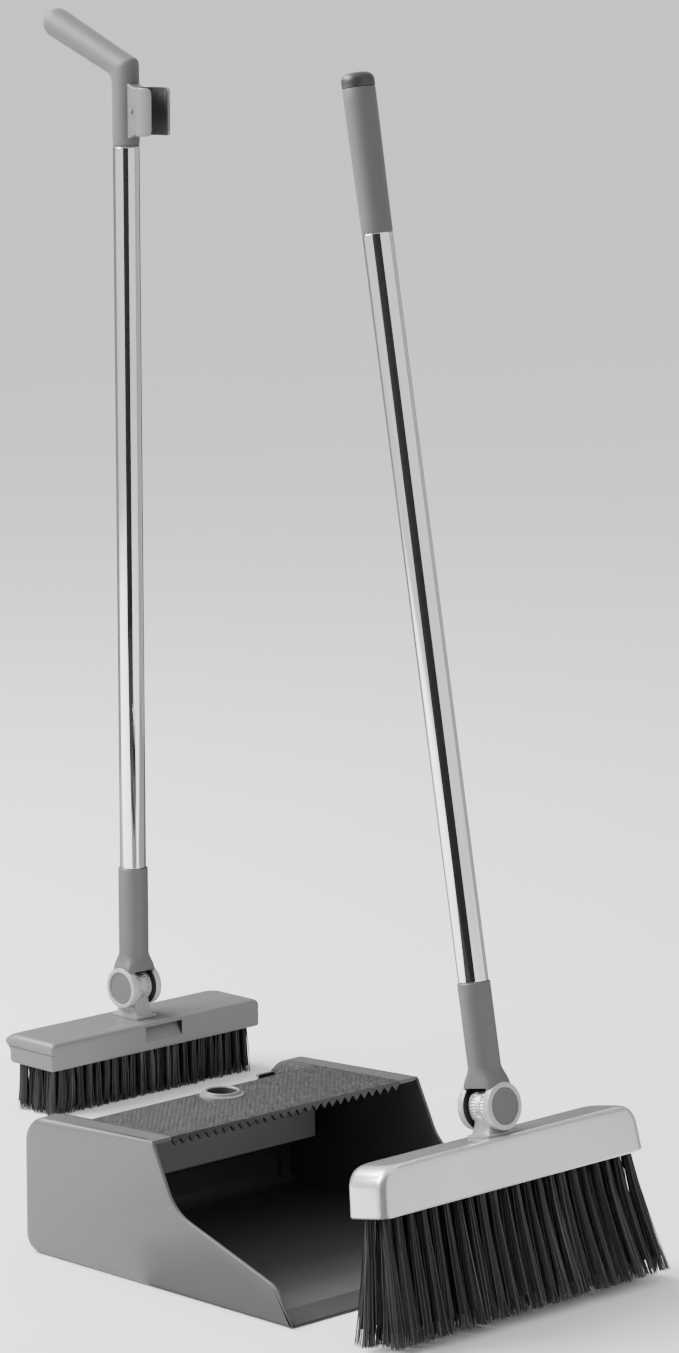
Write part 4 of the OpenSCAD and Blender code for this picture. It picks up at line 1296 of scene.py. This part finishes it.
out_normal = np.array([-slope[1], slope[0]])
leg_start = (centre - elbow) @ slope
for s in np.linspace(leg_start + 2, ELBOW_RUN - TIP_R, 12):
    r = GRIP_R + (TIP_R - GRIP_R) * (s - leg_start) / (ELBOW_RUN - TIP_R - leg_start)
    middle = elbow + slope * s
    stack.append(grip_ring(middle - out_normal * r, middle + out_normal * r, r))
for turn in np.linspace(0, np.pi / 2, 12)[1:]:
    r = max(0.02, TIP_R * math.cos(turn))
    middle = elbow + slope * (ELBOW_RUN - TIP_R + TIP_R * math.sin(turn))
    stack.append(grip_ring(middle - out_normal * r, middle + out_normal * r, r))
grip.rings(np.array(stack))
grip.make("elbow_grip", "brush_handle", "grip_grey", [GRIP], ["brush_grip"], 60)

# %% [markdown]
# The broom has a straight grip, a taper that swells a little towards its end, and a dark plug
# with a dome closes it. Both are round, so a turned profile is the shortest way to make them.

# %% Broom grip and its cap
grip_high = extent("broom_grip", BROOM)[1]
cap_low, cap_high = extent("broom_grip_cap", BROOM)
base, top, end_r = extent("broom_pole", BROOM)[1][2], grip_high[2], (cap_high[0] - cap_low[0]) / 2
skin = Skin(BROOM)
profile = [(POLE_R - 1.2, base - 3), (POLE_R - 1.2, base), (GRIP_R - 0.8, base), (GRIP_R - 0.25, base + 0.2),
           (GRIP_R, base + 0.9)]
profile += [(GRIP_R + (end_r - GRIP_R) * smooth(t), base + 0.9 + (top - base - 1.6) * t)
            for t in np.linspace(0, 1, 12)[1:]]
profile += [(end_r - 0.25, top - 0.2), (end_r - 0.8, top)]
skin.rings(lathe(profile, 72))
skin.make("broom_grip_body", "broom_handle", "grip_grey", [GRIP], ["broom_grip"], 50)

skin = Skin(BROOM)
profile = [(end_r - 0.9, top), (end_r - 0.4, top + 0.3), (end_r, top + 0.9)]
dome = cap_high[2] - top - 5
profile += [(end_r * math.cos(t) ** 0.55 if t < 1.57 else 0.02, top + 5 + dome * math.sin(t))
            for t in np.linspace(0, np.pi / 2, 12)]
skin.rings(lathe(profile, 72))
skin.make("broom_grip_plug", "broom_handle", "dark_grey", [CAP_DARK], ["broom_grip_cap"], 50)

# %% [markdown]
# ## The pole clip
# The clip holds the broom when the set is put away. Its saddle flows from the grip with a
# hollow curve above and below, and its jaw is a C with round lips. Inside is a dark soft
# lining with fine upright ribs, which grips a pole without scratching it.

# %% Clip
base = extent("brush_pole", BRUSH)[1][2]
lining_low, lining_high = extent("clip_lining", BRUSH)
CLIP_LOW, CLIP_HIGH = lining_low[2], lining_high[2]
JAW_R, JAW_T, LINING_T = POLE_R + 3.0, 2.0, 1.0
jaw_y = lining_high[1] - (JAW_R - JAW_T)
MOUTH = math.radians(48)


def c_rings(outer_r, inner_r, low, high, mouth, ribs=0.0, lip=4.5, steps=90):
    """Sections of a C-shaped band, from one lip of its mouth to the other. Towards each lip
    the band gets lower, along a quarter circle."""
    swing = np.linspace(mouth, 2 * np.pi - mouth, steps)
    edge = (swing - mouth) * outer_r
    edge = np.minimum(edge, edge[::-1])
    cut = lip - np.sqrt(np.clip(lip**2 - np.clip(lip - edge, 0, lip) ** 2, 0, None))
    cut = np.minimum(cut, lip - 0.05)
    wave = ribs * np.abs(np.sin(swing * 30))
    section = []
    for r, z in ((inner_r, low + 0.4), (inner_r + 0.3, low), (outer_r - 0.5, low), (outer_r, low + 0.6),
                 (outer_r, high - 0.6), (outer_r - 0.5, high), (inner_r + 0.3, high), (inner_r, high - 0.4)):
        inside_face = r == inner_r
        radial = r + (wave if inside_face else 0)
        height = np.where(z < (low + high) / 2, z + cut, z - cut)
        section.append(np.stack([radial * np.sin(swing), jaw_y - radial * np.cos(swing), height], -1))
    return np.array(section).transpose(1, 0, 2)


skin = Skin(BRUSH)
skin.rings(c_rings(JAW_R, JAW_R - JAW_T, CLIP_LOW, CLIP_HIGH, MOUTH))
seat, back_y = -GRIP_R * 0.55, jaw_y + JAW_R - JAW_T + 0.4
sweep = np.linspace(0, 1, 12)[:, None]
upper = np.column_stack([back_y + (seat - back_y) * sweep, CLIP_HIGH - 0.3 + 6.0 * sweep**2.2])
lower = np.column_stack([back_y + (seat - back_y) * sweep, CLIP_LOW + 0.3 - 6.5 * sweep**2.2])
saddle = np.concatenate([upper, lower[::-1]])
skin.rings(along_x(plate(saddle, -6.5, 6.5, 1.4, 1.4, 4)))
skin.make("clip_jaw", "brush_handle", "light_grey", [CLIP], ["pole_clip"], 35)

skin = Skin(BRUSH)
inner_r = JAW_R - JAW_T
skin.rings(c_rings(inner_r - 0.01, inner_r - LINING_T, CLIP_LOW, CLIP_HIGH, MOUTH, 0.35, steps=360))
skin.make("clip_soft_lining", "brush_handle", "dark_grey", [CLIP_SOFT], ["clip_lining"], 35)

rivet_low, rivet_high = extent("clip_rivets", BRUSH)
skin = Skin(BRUSH)
rivet_y, rivet_z = (rivet_low[1] + rivet_high[1]) / 2, (rivet_low[2] + rivet_high[2]) / 2
rivet_r = (rivet_high[2] - rivet_low[2]) / 2
for hand in (-1, 1):
    profile = [(rivet_r, 4.9), (rivet_r, rivet_high[0] - 1.0)]
    profile += [(max(0.02, rivet_r * math.cos(t)), rivet_high[0] - 1.0 + math.sin(t))
                for t in np.linspace(0, np.pi / 2, 6)[1:]]
    skin.rings(lathe_x(profile, 24, hand, 0.0, rivet_y, rivet_z))
skin.make("clip_rivet_heads", "brush_handle", "light_grey", [CLIP], ["clip_rivets"], 40)

# %% [markdown]
# ## Parts that stay as they are
# Pins, screws, washers and boards have their true shape in the CAD model. They only need a
# finish, which goes into the material slot of the CAD node's own object.

# %% Carried-over nodes
for node, finish in {
    "brush_board": BOARD, "broom_board": BOARD,
    "brush_screws": STEEL, "broom_screws": STEEL,
    "brush_pivot_pin": STEEL, "broom_pivot_pin": STEEL,
    "brush_washers": WASHER, "broom_washers": WASHER,
}.items():
    mesh = frame["nodes"][node].data
    mesh.materials.clear()
    mesh.materials.append(finish)
    print(node, "finished as", finish.name)

# %% [markdown]
# ## The studio
# Plastic is lit by the big soft sources. The mirror tubes show the studio itself: a polished
# tube looks white with a black stripe because a black flag stands behind the camera. The
# flags here are seen only in reflections, so they don't darken the room or get in the way.

# %% Studio
def flat_material(name, colour, roughness=0.9):
    """A plain studio surface with a faint unevenness."""
    f = Finish(name)
    brighter = tuple(min(1.0, c * 1.03) for c in colour[:3]) + (1.0,)
    f.feed("Base Color", f.mix(f.noise(300, 2), colour, brighter))
    f.feed("Roughness", f.noise(80, 2) * 0.05 + roughness)
    return f.material


def stage_plane(name, corners, material):
    """A stage surface of one quad, or of two that share an edge. It isn't part of the object."""
    mesh = bpy.data.meshes.new(name)
    quads = [(0, 1, 2, 3)] if len(corners) == 4 else [(0, 1, 3, 2), (2, 3, 5, 4)]
    mesh.from_pydata([tuple(c) for c in corners], [], quads)
    mesh.materials.append(material)
    made = bpy.data.objects.new(name, mesh)
    bpy.context.scene.collection.objects.link(made)
    return made


FLOOR = 60.0
stage_plane("floor", [(-FLOOR, -FLOOR, 0), (FLOOR, -FLOOR, 0), (FLOOR, FLOOR, 0), (-FLOOR, FLOOR, 0)],
            flat_material("floor_paint", grey(0.90)))

middle = (cad_box[0] + cad_box[1]) / 2


def flag(name, angle_deg, half_deg, far, height, shade):
    """A dark upright card at an angle round the object from the camera, with a foot that runs
    on over the floor towards the object. Only mirrors see it."""
    card = Finish(name, Roughness=1.0)
    card.shader.inputs["Base Color"].default_value = grey(shade)
    corners = []
    for distance, z in ((0.32, 0.001), (far, 0.001), (far, height)):
        for turn in (-1, 1):
            a = CAMERA_AZIMUTH + math.radians(angle_deg + turn * half_deg)
            corners.append((middle.x + distance * math.sin(a), middle.y - distance * math.cos(a), z))
    made = stage_plane(name, corners, card.material)
    made.visible_camera = False
    made.visible_diffuse = False
    made.visible_shadow = False
    made.visible_transmission = False


# Each row: place, angle and half angle in degrees, distance and height in metres, shade
for where, *card in (("behind_camera", -9, 27, 1.6, 2.2, 0.004), ("right", 116, 28, 1.4, 2.2, 0.16),
                     ("left", -132, 16, 1.4, 2.2, 0.18), ("behind_object", 180, 36, 1.8, 0.9, 0.05)):
    flag(f"flag_{where}", *card)

world = bpy.data.worlds.new("studio")
world.use_nodes = True
world.node_tree.nodes["Background"].inputs["Color"].default_value = (1.0, 1.0, 1.0, 1.0)
world.node_tree.nodes["Background"].inputs["Strength"].default_value = 1.05
bpy.context.scene.world = world


def soft_light(name, azimuth_deg, height_deg, far, size, power):
    """A square soft light that looks at the middle of the object from an angle round it."""
    a, e = CAMERA_AZIMUTH + math.radians(azimuth_deg), math.radians(height_deg)
    towards = Vector((math.sin(a) * math.cos(e), -math.cos(a) * math.cos(e), math.sin(e)))
    data = bpy.data.lights.new(name, "AREA")
    data.size = size
    data.energy = power
    light = bpy.data.objects.new(name, data)
    bpy.context.scene.collection.objects.link(light)
    light.location = middle + towards * far
    light.rotation_euler = towards.to_track_quat("Z", "Y").to_euler()


soft_light("key", -78, 36, far=2.8, size=1.5, power=130)
soft_light("rim", -122, 42, far=2.6, size=0.9, power=105)
print("studio ready")
